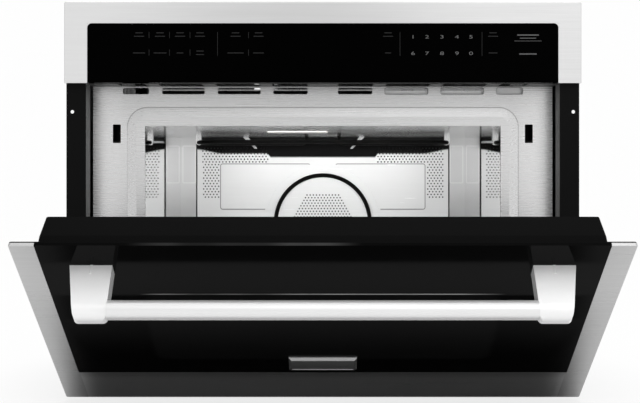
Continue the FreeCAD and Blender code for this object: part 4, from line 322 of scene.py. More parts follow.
# Studio light: a pale room, brightest overhead and in front and a little darker to the left,
# with two wide soft lamps and a small one in the cavity. The camera sees the room plain white.
ROOM_LEVEL = 0.58
FRONT_GAIN = 0.38
TOP_GAIN = 0.28
LEFT_GAIN = -0.17
RIGHT_GAIN = 0.03
SIDE_GAIN = -0.14
world = bpy.data.worlds.new("studio")
scene.world = world
world.use_nodes = True
room = Nodes(world.node_tree)
x, y, z = room.axes(room.node("TexCoord", {}, output="Generated"))
level = (ROOM_LEVEL + (-y).ramp(0.0, 0.95, 0.0, FRONT_GAIN) + z.ramp(0.2, 0.95, 0.0, TOP_GAIN)
         + x.ramp(-0.25, 0.25, LEFT_GAIN, RIGHT_GAIN) + abs(x).ramp(0.0, 0.2, SIDE_GAIN, 0.0))
room_light = room.node("Background", {}, grey(1.0), level)
plain_white = room.node("Background", {}, grey(1.0), 1.0)
room.show(room.light_path("Camera"), room_light, plain_white)


def softbox(name, at, aim, width, height, radiance):
    """Rectangular studio lamp aimed at a point."""
    lamp = bpy.data.lights.new(name, "AREA")
    lamp.shape = "RECTANGLE"
    lamp.size, lamp.size_y = width, height
    lamp.energy = radiance * math.pi * width * height
    holder = bpy.data.objects.new(name, lamp)
    scene.collection.objects.link(holder)
    holder.location = at
    holder.rotation_euler = (Vector(aim) - Vector(at)).to_track_quat("-Z", "Y").to_euler()
    holder.visible_camera = False
    return holder


softbox("front_lamp", at=(0.9, -2.7, 2.3), aim=(0, -0.2, 0.25), width=2.6, height=1.6,
        radiance=1.15)
softbox("top_lamp", at=(0.0, 0.1, 2.7), aim=(0, 0, 0.2), width=2.8, height=2.2, radiance=1.1)
oven_light = softbox("oven_light", at=(0.0, -0.12, 0.358), aim=(0, 0.2, 0.13), width=0.4,
                     height=0.1, radiance=17.0)
oven_light.visible_glossy = False

# Trim: a channel of 1.2 mm stainless sheet folded round the control panel, with its fine
# brushed grain running across the oven. Painted shade dims its middle, and painted light
# brightens it to the left.
TRIM_PAINTED_SHADE_HALF = 260 * MM
TRIM_PAINTED_LIGHT = (-370 * MM, -140 * MM)
GRAIN_DEPTH = 0.02 * MM
GRAIN_STRETCH = 0.012


def dress(finish, *names):
    """Give nodes of the frame a finish."""
    for name in names:
        coat(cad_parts[name], finish)


def brushed(name, shade, rough, metal=1.0, along="x", grain=0.3, depth=GRAIN_DEPTH, **settings):
    """Stainless with long thin streaks in its brightness, roughness and height."""
    made = Finish(name, grey(shade), rough, metal, **settings)
    stretch = [GRAIN_STRETCH if axis == along else 1.0 for axis in "xyz"]
    fine = made.noise(made.place(stretch), 900.0, 3.0, 0.6)
    middle = made.noise(made.place(stretch), 260.0, 2.0)
    broad = made.noise(made.place([s * 2 for s in stretch]), 9.0, 2.0)
    streak = fine * 0.5 + middle * 0.3 + broad * 0.2 - 0.5
    low, high = grey(shade * (1 - grain)), grey(shade * (1 + grain))
    made.set("Base Color", made.mix(streak + 0.5, low, high))
    made.set("Roughness", streak * 0.24 + rough)
    made.bump(fine * 0.7 + middle * 0.3, depth)
    return made


trim_steel = brushed("brushed_trim", 0.76, 0.34, grain=0.16)
x, y, z = trim_steel.xyz()
# Painted shade over the middle of the trim, and painted light towards its left end.
trim_steel.under(abs(x).ramp(0.0, TRIM_PAINTED_SHADE_HALF, 0.6, 0.0), grey(0.6))
trim_steel.under(x.ramp(*TRIM_PAINTED_LIGHT, 0.6, 0.0), grey(0.95))
dress(trim_steel, "trim_frame")

# Window corners: small fillets of the trim's own steel, welded into the two upper corners of
# its window, which are rounder than the folded channel alone.
CORNER_X = 344.2 * MM
CORNER_Z = 511.3 * MM
CORNER_RADIUS = 6.5 * MM
CORNER_THICK = 0.75 * MM
CORNER_SIDES = 96


def block(name, middle, sizes):
    """A square-edged block about its middle."""
    fresh()
    bpy.ops.mesh.primitive_cube_add(size=1, location=middle)
    bpy.context.object.scale = sizes
    return settle(name)


def put_on(piece, kind, **settings):
    """Add a modifier to a piece and apply it."""
    fresh()
    piece.select_set(True)
    bpy.context.view_layer.objects.active = piece
    added = piece.modifiers.new(kind.lower(), kind)
    for key, value in settings.items():
        setattr(added, key, value)
    bpy.ops.object.modifier_apply(modifier=added.name)


for side, word in ((-1, "left"), (1, "right")):
    middle = (side * (CORNER_X - CORNER_RADIUS / 2), FACE_Y + CORNER_THICK / 2,
              CORNER_Z - CORNER_RADIUS / 2)
    gusset = block("corner_gusset_" + word, middle, (CORNER_RADIUS, CORNER_THICK, CORNER_RADIUS))
    fresh()
    bpy.ops.mesh.primitive_cylinder_add(
        vertices=CORNER_SIDES, radius=CORNER_RADIUS, depth=4 * CORNER_THICK, rotation=STANDING,
        location=(side * (CORNER_X - CORNER_RADIUS), FACE_Y, CORNER_Z - CORNER_RADIUS))
    cutter = settle("cutter")
    put_on(gusset, "BOOLEAN", object=cutter, operation="DIFFERENCE", solver="EXACT")
    bpy.data.objects.remove(cutter)
    coat(gusset, trim_steel)
    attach(gusset, "chassis")

# Door skin: the door's stainless frame, brushed across, with painted light that makes the
# strip at its foot lighter. The door hangs open on its hinge, so places on it are worked out
# along the door.
HINGE_Y = -192 * MM
HINGE_Z = 14 * MM
OPEN_ANGLE = 51.4
DOOR_LIFT = 22 * MM
FOOT_STRIP = 74 * MM
FOOT_FADE = 20 * MM
FOOT_HALF = 345 * MM


def up_door(finish):
    """Across, and the height above the lower edge of the open door, for a finish's own place."""
    x, y, z = finish.xyz()
    turn = math.radians(OPEN_ANGLE)
    return x, (z - HINGE_Z) * math.cos(turn) - (y - HINGE_Y) * math.sin(turn) - DOOR_LIFT


door_steel = brushed("brushed_door", 0.64, 0.3, grain=0.2)
x, up = up_door(door_steel)
# Painted light: the foot strip is made lighter than the sides.
painted_foot_light = up.ramp(FOOT_STRIP - FOOT_FADE, FOOT_STRIP, 0.75, 0.0) * (abs(x) < FOOT_HALF)
door_steel.under(painted_foot_light, grey(0.95))
dress(door_steel, "door_skin")

# Front plate: satin stainless with a faint grain, stamped with a raised land and punched with
# air slots. Painted light brightens it towards its sides, and painted shade draws dark lines
# along the land's edge and round the three slots on the right.
LAND_HALF = 296.5 * MM
LAND_LOW = 69 * MM
LAND_TOP = 392.5 * MM
LAND_RADIUS = 30 * MM
LAND_SHADE_LINE = (0.3 * MM, 1.1 * MM)
LAND_SHADE_UP = (340 * MM, 385 * MM)
LAND_SHADE_RIGHT = (200 * MM, 300 * MM)
SLOT_HEIGHTS = (412.6 * MM, 422.2 * MM)
SLOT_RADIUS = 2.5 * MM
SLOT_SHADE_LINE = (0.3 * MM, 1.0 * MM)
RIGHT_SLOTS = ((94.3 * MM, 159.2 * MM), (179.2 * MM, 243.7 * MM), (263.7 * MM, 303.2 * MM))
PLATE_PAINTED_LIGHT_SIDES = (280 * MM, 340 * MM)
plate_steel = brushed("satin_plate", 0.8, 0.28, 0.5, grain=0.06, depth=0.005 * MM)
x, y, z = plate_steel.xyz()
# Painted light, lighter towards the sides where the recess shades the plate.
plate_steel.under(abs(x).ramp(*PLATE_PAINTED_LIGHT_SIDES), grey(1.0))
land = plate_steel.oblong(x, z, -LAND_HALF, LAND_HALF, LAND_LOW, LAND_TOP, LAND_RADIUS)
# Painted shade round each of the three right-hand slots.
for start, stop in RIGHT_SLOTS:
    slot = plate_steel.oblong(x, z, start, stop, *SLOT_HEIGHTS, SLOT_RADIUS)
    plate_steel.under(slot.line(*SLOT_SHADE_LINE, 0.85), grey(0.05))
# Painted shade along the land's edge, strongest near the top and on the right.
strength = z.ramp(*LAND_SHADE_UP, 0.2, 0.7).at_least(x.ramp(*LAND_SHADE_RIGHT, 0.0, 0.5))
plate_steel.under(land.line(*LAND_SHADE_LINE) * strength, grey(0.2))
dress(plate_steel, "front_plate")

# Recess walls: the sides and the ceiling between flange and plate, of plain sheet brushed front
# to back, their dark colour a painted shade.
painted_shade_recess = brushed("painted_shade_recess", 0.13, 0.5, 0.15, "y", 0.2, specular_ior_level=0.2)
dress(painted_shade_recess, "recess_liner")


# Cavity: bright rolled stainless panels, welded at their edges. They are nearly mirrors, with
# the mill's faint lines running in, and the roof is a little duller.
def rolled(name, shade, rough, metal=1.0):
    """Bright rolled stainless: a mirror with a faint haze in drifts along the oven."""
    made = Finish(name, grey(shade), rough, metal)
    drift = made.noise(made.place((1, 0.15, 1)), 26.0, 3.0)
    lines = made.noise(made.place((1, 0.01, 1)), 500.0, 2.0)
    made.set("Base Color", made.mix(drift, grey(shade * 0.94), grey(shade * 1.04)))
    made.set("Roughness", drift * 0.03 + lines * 0.02 + rough - 0.025)
    return made


cavity_steel = rolled("bright_cavity", 0.88, 0.03)
dress(cavity_steel, "cavity_left_wall", "cavity_right_wall", "cavity_floor")
roof_steel = rolled("cavity_roof_steel", 0.8, 0.17)
dress(roof_steel, "cavity_roof")

# Rear wall: bright where it shows beside the cover, with a painted highlight tracing a pressed
# oblong on each side and painted shade along the gap at the cover's edge, and painted dark
# behind the cover, as shade seen through its holes.
COVER_HALF = 238 * MM
COVER_GAP = 1 * MM
GAP_SHADE_LINE = (1.3 * MM, 2.4 * MM)
OBLONG = (242 * MM, 266 * MM, 279 * MM, 349 * MM)
OBLONG_RADIUS = 2 * MM
OBLONG_HIGHLIGHT_LINE = (0.5 * MM, 1.4 * MM)
rear_wall = rolled("rear_wall", 0.82, 0.2, 0.6)
x, y, z = rear_wall.xyz()
pressed = rear_wall.oblong(abs(x), z, *OBLONG, OBLONG_RADIUS)
# Painted highlight round each pressed oblong.
rear_wall.under(pressed.line(*OBLONG_HIGHLIGHT_LINE, 0.9), grey(0.98))
# Painted shade in the gap beside the cover.
rear_wall.under((abs(x) - COVER_HALF - COVER_GAP).line(*GAP_SHADE_LINE), grey(0.01))
# Painted shade behind the cover, seen through its holes.
rear_wall.under(abs(x) < COVER_HALF, grey(0.012))
dress(rear_wall, "cavity_back_wall")

# Rear cover: satin stainless with a soft dark band along its top, a painted reflection of the
# grill heater. A faint line of painted shade runs round each plain field, down to where the
# fan's guard begins.
COVER_FRONT = 200 * MM
FIELD = (24 * MM, 194 * MM, 229 * MM, 315 * MM)
FIELD_RADIUS = 4 * MM
FIELD_SHADE_LINE = (0.4 * MM, 1.3 * MM)
FIELD_BITE = 112 * MM
GUARD_Z = 204.59 * MM
REFLECTION_BAND_TOP = 354.5 * MM
REFLECTION_BAND_FOOT = 327 * MM
REFLECTION_BAND_SOFT = (-1.5 * MM, 2.5 * MM)
REFLECTION_BAND_INNER = (98 * MM, 106 * MM)
REFLECTION_BAND_INNER_RISE = 7 * MM
REFLECTION_BAND_OUTER = (190 * MM, 240 * MM)
REFLECTION_BAND_OUTER_RISE = 8 * MM
rear_steel = brushed("rear_cover", 0.95, 0.24, 0.35, grain=0.05, depth=0.004 * MM,
                     specular_ior_level=0.12)
x, y, z = rear_steel.xyz()
# Painted shade: a faint line round each plain field.
field = rear_steel.oblong(abs(x), z, *FIELD, FIELD_RADIUS)
outside_guard = x ** 2 + (z - GUARD_Z) ** 2 > FIELD_BITE ** 2
rear_steel.under(field.line(*FIELD_SHADE_LINE, 0.75) * outside_guard, grey(0.1))
# Painted reflection of the grill heater: a dark band along the top, its foot rising towards the
# sides.
inner_rise = abs(x).ramp(*REFLECTION_BAND_INNER, 0.0, REFLECTION_BAND_INNER_RISE)
outer_rise = abs(x).ramp(*REFLECTION_BAND_OUTER, 0.0, REFLECTION_BAND_OUTER_RISE)
above_foot = z - (inner_rise + outer_rise + REFLECTION_BAND_FOOT)
rear_steel.under(above_foot.ramp(*REFLECTION_BAND_SOFT) * (z < REFLECTION_BAND_TOP), grey(0.006))
dress(rear_steel, "rear_grille_panel")

# Cover holes: round holes punched in rows through the cover, long rows along its top and
# short ones down its sides. They come as strips of punched sheet that fill the cover's slots.
PUNCHED_SHEET = 0.3 * MM
HOLE_RADIUS = 1.5 * MM
HOLE_HIGH = 3.2 * MM
HOLE_SIDES = 8
ROW_PITCH = 5.14 * MM
FIRST_ROW_TOP = 346.1 * MM
TOP_ROWS = 6
SIDE_ROWS = 13
ROW_OUT = 230.8 * MM
LONG_ROW = 129.3 * MM
SHORT_ROW = 36.2 * MM
LONG_COUNT = 20
SHORT_COUNT = 5
SHORTEST_END = 0.01 * MM
UPRIGHT = Matrix.Rotation(math.radians(90), 4, "X")


def punched_cell(pitch, high, radius):
    """One flat cell of punched sheet round its hole, lying at the origin."""
    cell = flat("cell", (0, 0, 0), pitch, high)
    bpy.ops.object.mode_set(mode="EDIT")
    bpy.ops.mesh.select_all(action="SELECT")
    bpy.ops.mesh.subdivide(number_cuts=1)
    bpy.ops.object.mode_set(mode="OBJECT")
    pick(cell, "VERT", lambda vertex: vertex.co.length < radius / 4)
    bpy.ops.mesh.delete(type="VERT")
    bpy.ops.mesh.primitive_circle_add(vertices=HOLE_SIDES, radius=radius, fill_type="NOTHING")
    bpy.ops.mesh.select_all(action="SELECT")
    bpy.ops.mesh.bridge_edge_loops()
    bpy.ops.object.mode_set(mode="OBJECT")
    return cell


def copy_of(master, name, matrix):
    """A copy with its own mesh, put in its place by a matrix."""
    piece = master.copy()
    piece.data = master.data.copy()
    piece.name = name
    piece.data.transform(matrix)
    scene.collection.objects.link(piece)
    return piece


def join(pieces, name):
    """Join pieces into the first of them."""
    fresh()
    for piece in pieces:
        piece.select_set(True)
    bpy.context.view_layer.objects.active = pieces[0]
    bpy.ops.object.join()
    return settle(name)


def punched_row(start, stop, first, count, pitch, high, radius):
    """A slot's worth of punched sheet: cells in a line and plain sheet up to both ends."""
    row = punched_cell(pitch, high, radius)
    put_on(row, "ARRAY", count=count, use_relative_offset=False, use_constant_offset=True,
           constant_offset_displace=(pitch, 0, 0))
    row.data.transform(Matrix.Translation((first + pitch / 2, 0, 0)))
    parts = [row]
    for near, far in ((start, first), (first + count * pitch, stop)):
        if far - near > SHORTEST_END:
            parts.append(flat("plain_end", ((near + far) / 2, 0, 0), far - near, high))
    return join(parts, "row")


def finish_sheet(parts, name, thick, finish, way=-1):
    """Join rows of punched sheet, give them their thickness, and fix them in the chassis."""
    piece = join(parts, name)
    put_on(piece, "SOLIDIFY", thickness=thick, offset=way)
    coat(piece, finish)
    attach(piece, "chassis")


hole_pitch = LONG_ROW / (LONG_COUNT + 0.5)
rows = []
for length, count, numbers in ((LONG_ROW, LONG_COUNT, range(TOP_ROWS)),
                               (SHORT_ROW, SHORT_COUNT, range(TOP_ROWS, TOP_ROWS + SIDE_ROWS))):
    for odd in (0, 1):
        first = length - (count + 0.5 * odd) * hole_pitch
        master = punched_row(0, length, first, count, hole_pitch, HOLE_HIGH, HOLE_RADIUS)
        for number in numbers:
            if number % 2 != odd:
                continue
            height = FIRST_ROW_TOP - number * ROW_PITCH - HOLE_HIGH / 2
            for start in (ROW_OUT - length, -ROW_OUT):
                place = Matrix.Translation((start, COVER_FRONT, height)) @ UPRIGHT
                rows.append(copy_of(master, "row", place))
        bpy.data.objects.remove(master)
finish_sheet(rows, "cover_holes", PUNCHED_SHEET, rear_steel)

# Fan guard's holes: the same round holes in a six-sided field before the fan, widest in the
# middle row, with one hole more in each row from the ends inwards.
GUARD_FRONT = 198.4 * MM
GUARD_ROWS = 21
GUARD_END_HALF = 33.0 * MM
GUARD_MIDDLE_HALF = 62.0 * MM
GUARD_FIRST_HOLES = 11
rows = []
middle = (GUARD_ROWS - 1) // 2
for step in range(middle + 1):
    half = GUARD_END_HALF + (GUARD_MIDDLE_HALF - GUARD_END_HALF) * step / middle
    count = GUARD_FIRST_HOLES + step
    master = punched_row(-half, half, -half, count, 2 * half / count, HOLE_HIGH, HOLE_RADIUS)
    for away in {step - middle, middle - step}:
        place = Matrix.Translation((0, GUARD_FRONT, GUARD_Z + away * ROW_PITCH)) @ UPRIGHT
        rows.append(copy_of(master, "row", place))
    bpy.data.objects.remove(master)
finish_sheet(rows, "guard_holes", PUNCHED_SHEET, rear_steel)

# Roof ports: the same punched steel in the roof, over the lamp on the left and the steam
# outlet on the right.
PORT_X = 145 * MM
PORT_Y = 45 * MM
PORT_ROWS = 5
PORT_PITCH = 8 * MM
PORT_LENGTH = 48 * MM
PORT_WIDE = 3 * MM
PORT_HOLES = 8
PORT_RADIUS = 1.3 * MM
ROOF_Z = 364.5 * MM
ROOF_SHEET = 1.2 * MM
master = punched_row(-PORT_LENGTH / 2, PORT_LENGTH / 2, -PORT_LENGTH / 2, PORT_HOLES,
                     PORT_LENGTH / PORT_HOLES, PORT_WIDE, PORT_RADIUS)
rows = []
for side in (-1, 1):
    for row in range(PORT_ROWS):
        y = PORT_Y + (row - PORT_ROWS / 2) * PORT_PITCH + PORT_WIDE / 2
        rows.append(copy_of(master, "row", Matrix.Translation((side * PORT_X, y, ROOF_Z))))
bpy.data.objects.remove(master)
finish_sheet(rows, "port_holes", ROOF_SHEET, roof_steel, 1)


# Flange and door liner: pressed sheet steel with black enamel, fired on and slightly wavy as
# it flowed. The liner's is a little blacker.
def enamelled(name, shade, rough, specular=0.06):
    """Black enamel with a ripple and specks of dust."""
    made = Finish(name, grey(shade), rough, specular_ior_level=specular)
    peel = made.noise(made.place(), 420.0, 2.0)
    dust = made.cells(made.place(), 260.0).ramp(0.0, 0.07, 1.0, 0.0)
    made.set("Base Color", made.mix(dust * 0.5 + peel * 0.3, grey(shade), grey(shade * 3)))
    made.set("Roughness", peel * 0.2 + rough - 0.1)
    made.bump(peel, 0.02 * MM)
    return made


dress(enamelled("black_enamel", 0.0028, 0.45), "front_frame")
dress(enamelled("liner_enamel", 0.0015, 0.42, 0.03), "door_liner")

# Glass: black printed glass on the control panel and the door's front, clear glass inside. On
# the door's front the window's field is a shade lighter, with painted highlights as bright
# lines on the window's upper edge and on a stretch of the glass's own.
WINDOW_HALF = 236 * MM
WINDOW_TOP = 278 * MM
WINDOW_FOOT = 108 * MM
WINDOW_RADIUS = 22 * MM
WINDOW_FADE = 10 * MM
WINDOW_HIGHLIGHT_LINE = (0.6 * MM, 1.4 * MM)
WINDOW_HIGHLIGHT_HALF = 200 * MM
GLASS_TOP = 384.6 * MM
GLASS_HIGHLIGHT_WIDTH = 1.2 * MM
EDGE_HIGHLIGHT_START = (-240 * MM, -170 * MM)
EDGE_HIGHLIGHT_STOP = (-10 * MM, 50 * MM)


def black_glass(name, shade, ior):
    """Black glass with the faint smears of wiping."""
    made = Finish(name, grey(shade), 0.05, ior=ior)
    wipe = made.noise(made.place((1, 1, 0.4)), 24.0, 3.0)
    made.set("Roughness", wipe * 0.08 + 0.02)
    made.set("Base Color", made.mix(wipe, grey(shade * 0.7), grey(shade * 1.3)))
    return made


dress(black_glass("panel_glass", 0.0003, 1.06), "control_glass")
front_glass = black_glass("door_front_glass", 0.0005, 1.13)
x, up = up_door(front_glass)
glint = front_glass.noise(front_glass.place((1, 0.1, 0.1)), 9.0, 2.0).ramp(0.3, 0.7, 0.2, 1.0)
window = front_glass.oblong(x, up, -WINDOW_HALF, WINDOW_HALF, WINDOW_FOOT, WINDOW_TOP,
                            WINDOW_RADIUS)
front_glass.under((-window).ramp(0.0, WINDOW_FADE), grey(0.004))
# Painted highlight along the window's upper edge.
window_highlight = (up - WINDOW_TOP).line(*WINDOW_HIGHLIGHT_LINE)
window_highlight = window_highlight * abs(x).ramp(WINDOW_HIGHLIGHT_HALF, WINDOW_HALF, 1.0, 0.0)
front_glass.under(window_highlight * glint, grey(0.4))
# Painted highlight on a stretch of the glass's top edge.
edge = up.ramp(GLASS_TOP, GLASS_TOP + GLASS_HIGHLIGHT_WIDTH)
edge = edge * x.ramp(*EDGE_HIGHLIGHT_START) * x.ramp(*EDGE_HIGHLIGHT_STOP, 1.0, 0.0)
front_glass.under(edge * glint, grey(0.2))
dress(front_glass, "door_glass")
clear = Finish("clear_glass", (0.86, 0.9, 0.88), 0.03, transmission_weight=1.0, ior=1.45)
smear = clear.noise(clear.place(), 30.0, 3.0)
clear.set("Roughness", smear.ramp(0.45, 0.8, 0.02, 0.12))
dress(clear, "inner_glass", "turntable_tray")

# Air deflector: bright folded sheet close behind the plate's three right-hand slots, which turns
# the outgoing air forwards; its lip hooks under the plate's fold.
DEFLECTOR_X = (86 * MM, 311 * MM)
DEFLECTOR_Z = (407 * MM, 423.2 * MM)
DEFLECTOR_Y = -208.6 * MM
DEFLECTOR_LIP = (0, 14 * MM, -4 * MM)
DEFLECTOR_SHEET = 0.6 * MM
middle = (sum(DEFLECTOR_X) / 2, DEFLECTOR_Y, sum(DEFLECTOR_Z) / 2)
deflector = flat("air_deflector", middle, DEFLECTOR_X[1] - DEFLECTOR_X[0],
                 DEFLECTOR_Z[1] - DEFLECTOR_Z[0], STANDING)
pick(deflector, "VERT", lambda corner: corner.co.z < middle[2])
bpy.ops.mesh.extrude_region_move(TRANSFORM_OT_translate={"value": DEFLECTOR_LIP})
bpy.ops.object.mode_set(mode="OBJECT")
put_on(deflector, "SOLIDIFY", thickness=DEFLECTOR_SHEET)
coat(deflector, brushed("deflector_steel", 0.98, 0.4, 0.3, grain=0.03))
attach(deflector, "chassis")


# Mouldings: heat-resistant plastic with a fine eroded texture, black on the controls' carrier,
# the door's choke cover and the latch parts, white on the roller ring and the cooling wheel.
def moulded(name, colour, rough, tooth=0.03 * MM, specular=0.3):
    """Plastic with the mould's fine tooth and a slight cloud."""
    made = Finish(name, colour, rough, specular_ior_level=specular)
    grain = made.noise(made.place(), 2600.0, 2.0)
    cloud = made.noise(made.place(), 35.0, 2.0)
    low, high = [c * 0.75 for c in colour], [c * 1.25 for c in colour]
    made.set("Base Color", made.mix(grain * 0.5 + cloud * 0.5, low, high))
    made.set("Roughness", grain * 0.16 + cloud * 0.1 + rough - 0.13)
    made.bump(grain, tooth)
    return made


dress(moulded("black_moulding", grey(0.006), 0.5, specular=0.1), "control_carrier",
      "choke_cover", "latch_brackets", "interlock_switches")
dress(moulded("display_filter", (0.006, 0.01, 0.01), 0.2, 0.002 * MM), "display_module")
dress(moulded("white_moulding", (0.72, 0.71, 0.66), 0.45), "roller_ring", "blower_wheel")

# Heaters: tubes with a nickel alloy sheath, burnt nearly black, and mottled where the oxide
# is thin. Both hang in wire hooks.
sheath = Finish("heater_sheath", grey(0.012), 0.55, 0.35, specular_ior_level=0.2)
mottle = sheath.noise(sheath.place(), 160.0, 4.0, 0.65)
sheath.set("Base Color", sheath.mix(mottle.ramp(0.45, 0.8), grey(0.003), (0.016, 0.0145, 0.0135)))
sheath.set("Roughness", mottle.ramp(0.3, 0.7, 0.42, 0.7))
sheath.bump(mottle, 0.04 * MM)
dress(sheath, "ring_heater", "top_heater")

# Handle: a stainless bar, brushed lengthwise, between two cast and polished arms, which long
# screws hold from inside the door.
dress(brushed("handle_bar_steel", 0.87, 0.4, 0.5, grain=0.04), "handle_bar")
arm_metal = Finish("satin_casting", grey(0.96), 0.5, 0.35)
ripple = arm_metal.noise(arm_metal.place(), 60.0, 3.0)
arm_metal.set("Base Color", arm_metal.mix(ripple, grey(0.94), grey(0.99)))
arm_metal.set("Roughness", ripple * 0.1 + 0.4)
dress(arm_metal, "handle_arms", "handle_screws")

# Body sheet: zinc-coated steel with the coating's large faint crystals and a few scuffs. The
# inside of the case is darkened with painted shade, and the sheet round the fan and the fan
# itself are painted dark, as shade seen through the guard's holes.
CASE_HALF = 356.5 * MM
CASE_TOP = 518.5 * MM
CASE_FOOT = 5 * MM
WIDE_CRYSTALS = 90.0
SMALL_CRYSTALS = 140.0


def zinc_sheet(name, shade, rough, scale=WIDE_CRYSTALS):
    """Zinc-coated steel, its crystals each of one tone."""
    made = Finish(name, grey(shade), rough, 1.0)
    crystal = made.node("SeparateColor", {}, made.cells(made.place(), scale, "Color"))
    cloud = made.noise(made.place(), 6.0, 4.0)
    scuff = made.noise(made.place((0.15, 0.15, 3)), 30.0, 5.0, 0.7).ramp(0.6, 0.75)
    tone = crystal * 0.6 + cloud * 0.4
    made.set("Base Color", made.mix(tone, grey(shade * 0.8), grey(shade * 1.15)))
    made.set("Roughness", tone * 0.16 + scuff * 0.15 + rough - 0.08)
    made.bump(crystal * 0.4 + scuff * 0.6, 0.02 * MM)
    return made


dress(zinc_sheet("case_zinc", 0.62, 0.42), "base_pan", "support_rails", "rear_panel",
      "door_screen")
case_sheet = zinc_sheet("case_sheet", 0.62, 0.42)
x, y, z = case_sheet.xyz()
# Painted shade darkens the inside of the case.
case_sheet.under((abs(x) < CASE_HALF) * (z < CASE_TOP) * (z > CASE_FOOT), grey(0.03))
dress(case_sheet, "case_wrap")
dress(zinc_sheet("baffle_sheet", 0.5, 0.3), "air_baffle")
# Painted shade: the fan's chamber and the fan are made dark.
dress(zinc_sheet("painted_shade_duct", 0.05, 0.5, SMALL_CRYSTALS), "fan_chamber", "convection_fan")
dress(zinc_sheet("duct_zinc", 0.6, 0.38, SMALL_CRYSTALS), "lamp_housing", "steam_duct",
      "waveguide", "blower_housing")


# Fittings: small steel parts with clear zinc plating, the heaters' bright clips, the grey
# spring wire, and the pressed aluminium shells of the wave supply.
def plated(name, colour, rough):
    """Plated or drawn metal with a slight cloud."""
    made = Finish(name, colour, rough, 1.0)
    cloud = made.noise(made.place(), 220.0, 3.0)
    low, high = [c * 0.8 for c in colour], [min(c * 1.12, 1.0) for c in colour]
    made.set("Base Color", made.mix(cloud, low, high))
    made.set("Roughness", cloud * 0.2 + rough - 0.1)
    made.bump(cloud, 0.02 * MM)
    return made


dress(plated("clear_plated", (0.66, 0.67, 0.68), 0.34), "hinge_brackets", "hinge_arms",
      "hinge_pins", "case_screws", "latch_hook_left", "latch_hook_right", "fan_shaft",
      "conduit_bush", "drive_coupler")
dress(plated("bright_clips", (0.82, 0.82, 0.82), 0.2), "heater_clips")
dress(plated("pressed_aluminium", (0.72, 0.73, 0.74), 0.3), "hv_capacitor", "magnetron")
dress(plated("spring_wire", (0.5, 0.5, 0.5), 0.3), "hinge_springs")

# Key marks: digits and plain strokes, screen-printed in pale ink on the control glass. Wide
# keys have two strokes, and thin upright lines part the groups. The tables, and the sizes that
# stand in them, are in millimetres: X, height, width and length of each stroke.
GLASS_FRONT = -275.2 * MM
PRINT_THICK = 0.05 * MM
DIGIT_X = (131.8, 152.3, 174.2, 196.1, 216.6)
DIGIT_ROWS = ((491.3, "12345"), (467.2, "67890"))
DIGIT_HIGH = 5.1 * MM
TYPE_SHARE = 1.4
DIGIT_STRETCH = 1.75
STROKE = 1.2
LINE = 0.7
ROUND_SHARE = 0.45
START_KEY = ((299.9, 494.2, 32, 1.9), (299.9, 489.6, 24, STROKE), (299.9, 485.5, 40, 0.6),
             (299.9, 466.5, 26, 1.9))
UPPER_KEYS_X = (-268.6, -237.9, -208.7, -179.5, -127.6, -94.0, 95.3, 248.8)
UPPER_STROKES = ((497.4, 11), (492.4, 15))
LOWER_KEYS = ((-268.6, 18), (-237.9, 19), (-208.7, 10), (-127.6, 24), (-94.0, 16), (95.3, 9),
              (248.8, 13))
LOWER_Z = 468.0
WIDE_KEY_X = -179.5
WIDE_KEY_STROKES = ((470.8, 11), (465.7, 12))
SHORT_LINES_X = (-254.0, -224.1, -194.1, -108.6)
SHORT_LINES_Z = (494.2, 468.6)
SHORT_LINE = 9
LONG_LINES_X = (-153.9, 112.8, 232.7)
LONG_LINES_Z = 481.0
LONG_LINE = 35


def printed(name, level):
    """Screen-printed ink, slightly uneven."""
    made = Finish(name, grey(level), 0.6, specular_ior_level=0.1)
    thin = made.noise(made.place(), 1500.0, 2.0)
    made.set("Base Color", made.mix(thin, grey(level * 0.7), grey(level * 1.3)))
    return made


def on_glass(x, z):
    return (x * MM, GLASS_FRONT - PRINT_THICK / 2, z * MM)


def stroke(x, z, wide, high):
    """A flat printed stroke with rounded ends, standing on the control glass."""
    piece = flat("stroke", on_glass(x, z), wide * MM, high * MM, STANDING)
    bpy.ops.object.mode_set(mode="EDIT")
    bpy.ops.mesh.select_all(action="SELECT")
    bpy.ops.mesh.bevel(offset=min(wide, high) * MM * ROUND_SHARE, segments=3, affect="VERTICES")
    bpy.ops.object.mode_set(mode="OBJECT")
    return piece


def printed_group(parts, name, ink):
    """Join printed marks, give them the ink's thickness, and fix them on the glass."""
    group = join(parts, name)
    put_on(group, "SOLIDIFY", thickness=PRINT_THICK, offset=0)
    coat(group, ink)
    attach(group, "chassis")


digits = []
for z, row in DIGIT_ROWS:
    for x, digit in zip(DIGIT_X, row):
        fresh()
        bpy.ops.object.text_add(location=on_glass(x, z), rotation=STANDING)
        letter = bpy.context.object
        letter.data.body = digit
        letter.data.size = DIGIT_HIGH * TYPE_SHARE
        letter.data.align_x = "CENTER"
        letter.data.align_y = "CENTER"
        bpy.ops.object.convert(target="MESH")
        bpy.context.object.scale = (DIGIT_STRETCH, 1, 1)
        digits.append(settle("digit"))
printed_group(digits, "key_digits", printed("digit_ink", 0.15))
printed_group([stroke(*mark) for mark in START_KEY], "start_key_marks",
              printed("bright_ink", 0.11))

marks = [(x, z, wide, STROKE) for x in UPPER_KEYS_X for z, wide in UPPER_STROKES]
marks += [(x, LOWER_Z, wide, STROKE) for x, wide in LOWER_KEYS]
marks += [(WIDE_KEY_X, z, wide, STROKE) for z, wide in WIDE_KEY_STROKES]
marks += [(x, z, LINE, SHORT_LINE) for x in SHORT_LINES_X for z in SHORT_LINES_Z]
marks += [(x, LONG_LINES_Z, LINE, LONG_LINE) for x in LONG_LINES_X]
printed_group([stroke(*mark) for mark in marks], "key_marks", printed("dim_ink", 0.024))

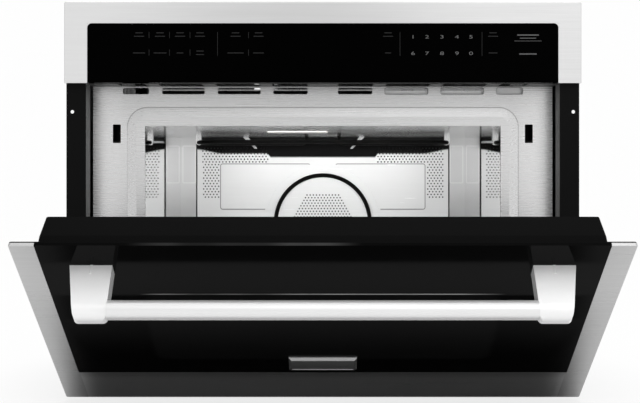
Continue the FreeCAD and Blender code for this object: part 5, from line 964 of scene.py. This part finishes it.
# Badge plate: a blank steel plate with bevelled edges and a shallow sunk face, fixed low in
# the middle of the door's glass. It is laid out on the closed door and swung open with it.
DOOR_FRONT = -276 * MM
DOOR_FOOT = 36 * MM
GLASS_DEPTH = 0.3 * MM
BADGE_HALF = 47.5 * MM
BADGE_LOW = 86.3 * MM
BADGE_HIGH = 119.3 * MM
BADGE_THICK = 5 * MM
BADGE_BEVEL = 3.4 * MM
BADGE_RIM = 1.2 * MM
BADGE_SUNK = 0.5 * MM
about_hinge = Matrix.Translation((0, HINGE_Y, HINGE_Z))
SWING = about_hinge @ Matrix.Rotation(math.radians(OPEN_ANGLE), 4, "X") @ about_hinge.inverted()
middle = (0, DOOR_FRONT + GLASS_DEPTH - BADGE_THICK / 2, DOOR_FOOT + (BADGE_LOW + BADGE_HIGH) / 2)
badge = block("badge_plate", middle, (2 * BADGE_HALF, BADGE_THICK, BADGE_HIGH - BADGE_LOW))
pick(badge, "FACE", lambda face: face.normal.y < -0.9)
bpy.ops.mesh.bevel(offset=BADGE_BEVEL, segments=1, affect="EDGES")
pick(badge, "FACE", lambda face: face.normal.y < -0.9)
bpy.ops.mesh.inset(thickness=BADGE_RIM)
bpy.ops.mesh.extrude_region_move(TRANSFORM_OT_translate={"value": (0, BADGE_SUNK, 0)})
bpy.ops.object.mode_set(mode="OBJECT")
badge.data.transform(SWING)
coat(badge, brushed("badge_steel", 0.62, 0.34))
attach(badge, "door")

# Iron parts: the transformer and the motors, stacks of varnished laminations that show as
# fine lines.
iron = Finish("varnished_iron", grey(0.07), 0.5, 0.6)
layers = iron.noise(iron.place((0.02, 1, 0.02)), 1400.0, 2.0)
iron.set("Base Color", iron.mix(layers, (0.05, 0.045, 0.04), (0.13, 0.12, 0.11)))
iron.bump(layers, 0.06 * MM)
dress(iron, "hv_transformer", "convection_motor", "blower_motor", "turntable_motor")

# Mica, lamp and board: the pale mica sheet over the waveguide's mouth, the lamp's frosted
# bulb, and the control board under its green lacquer.
dress(moulded("mica", (0.5, 0.485, 0.46), 0.4), "waveguide_cover")
dress(Finish("lamp_bulb", (0.9, 0.86, 0.75), 0.3), "cavity_lamp")
dress(moulded("board_lacquer", (0.02, 0.14, 0.06), 0.35), "control_board")
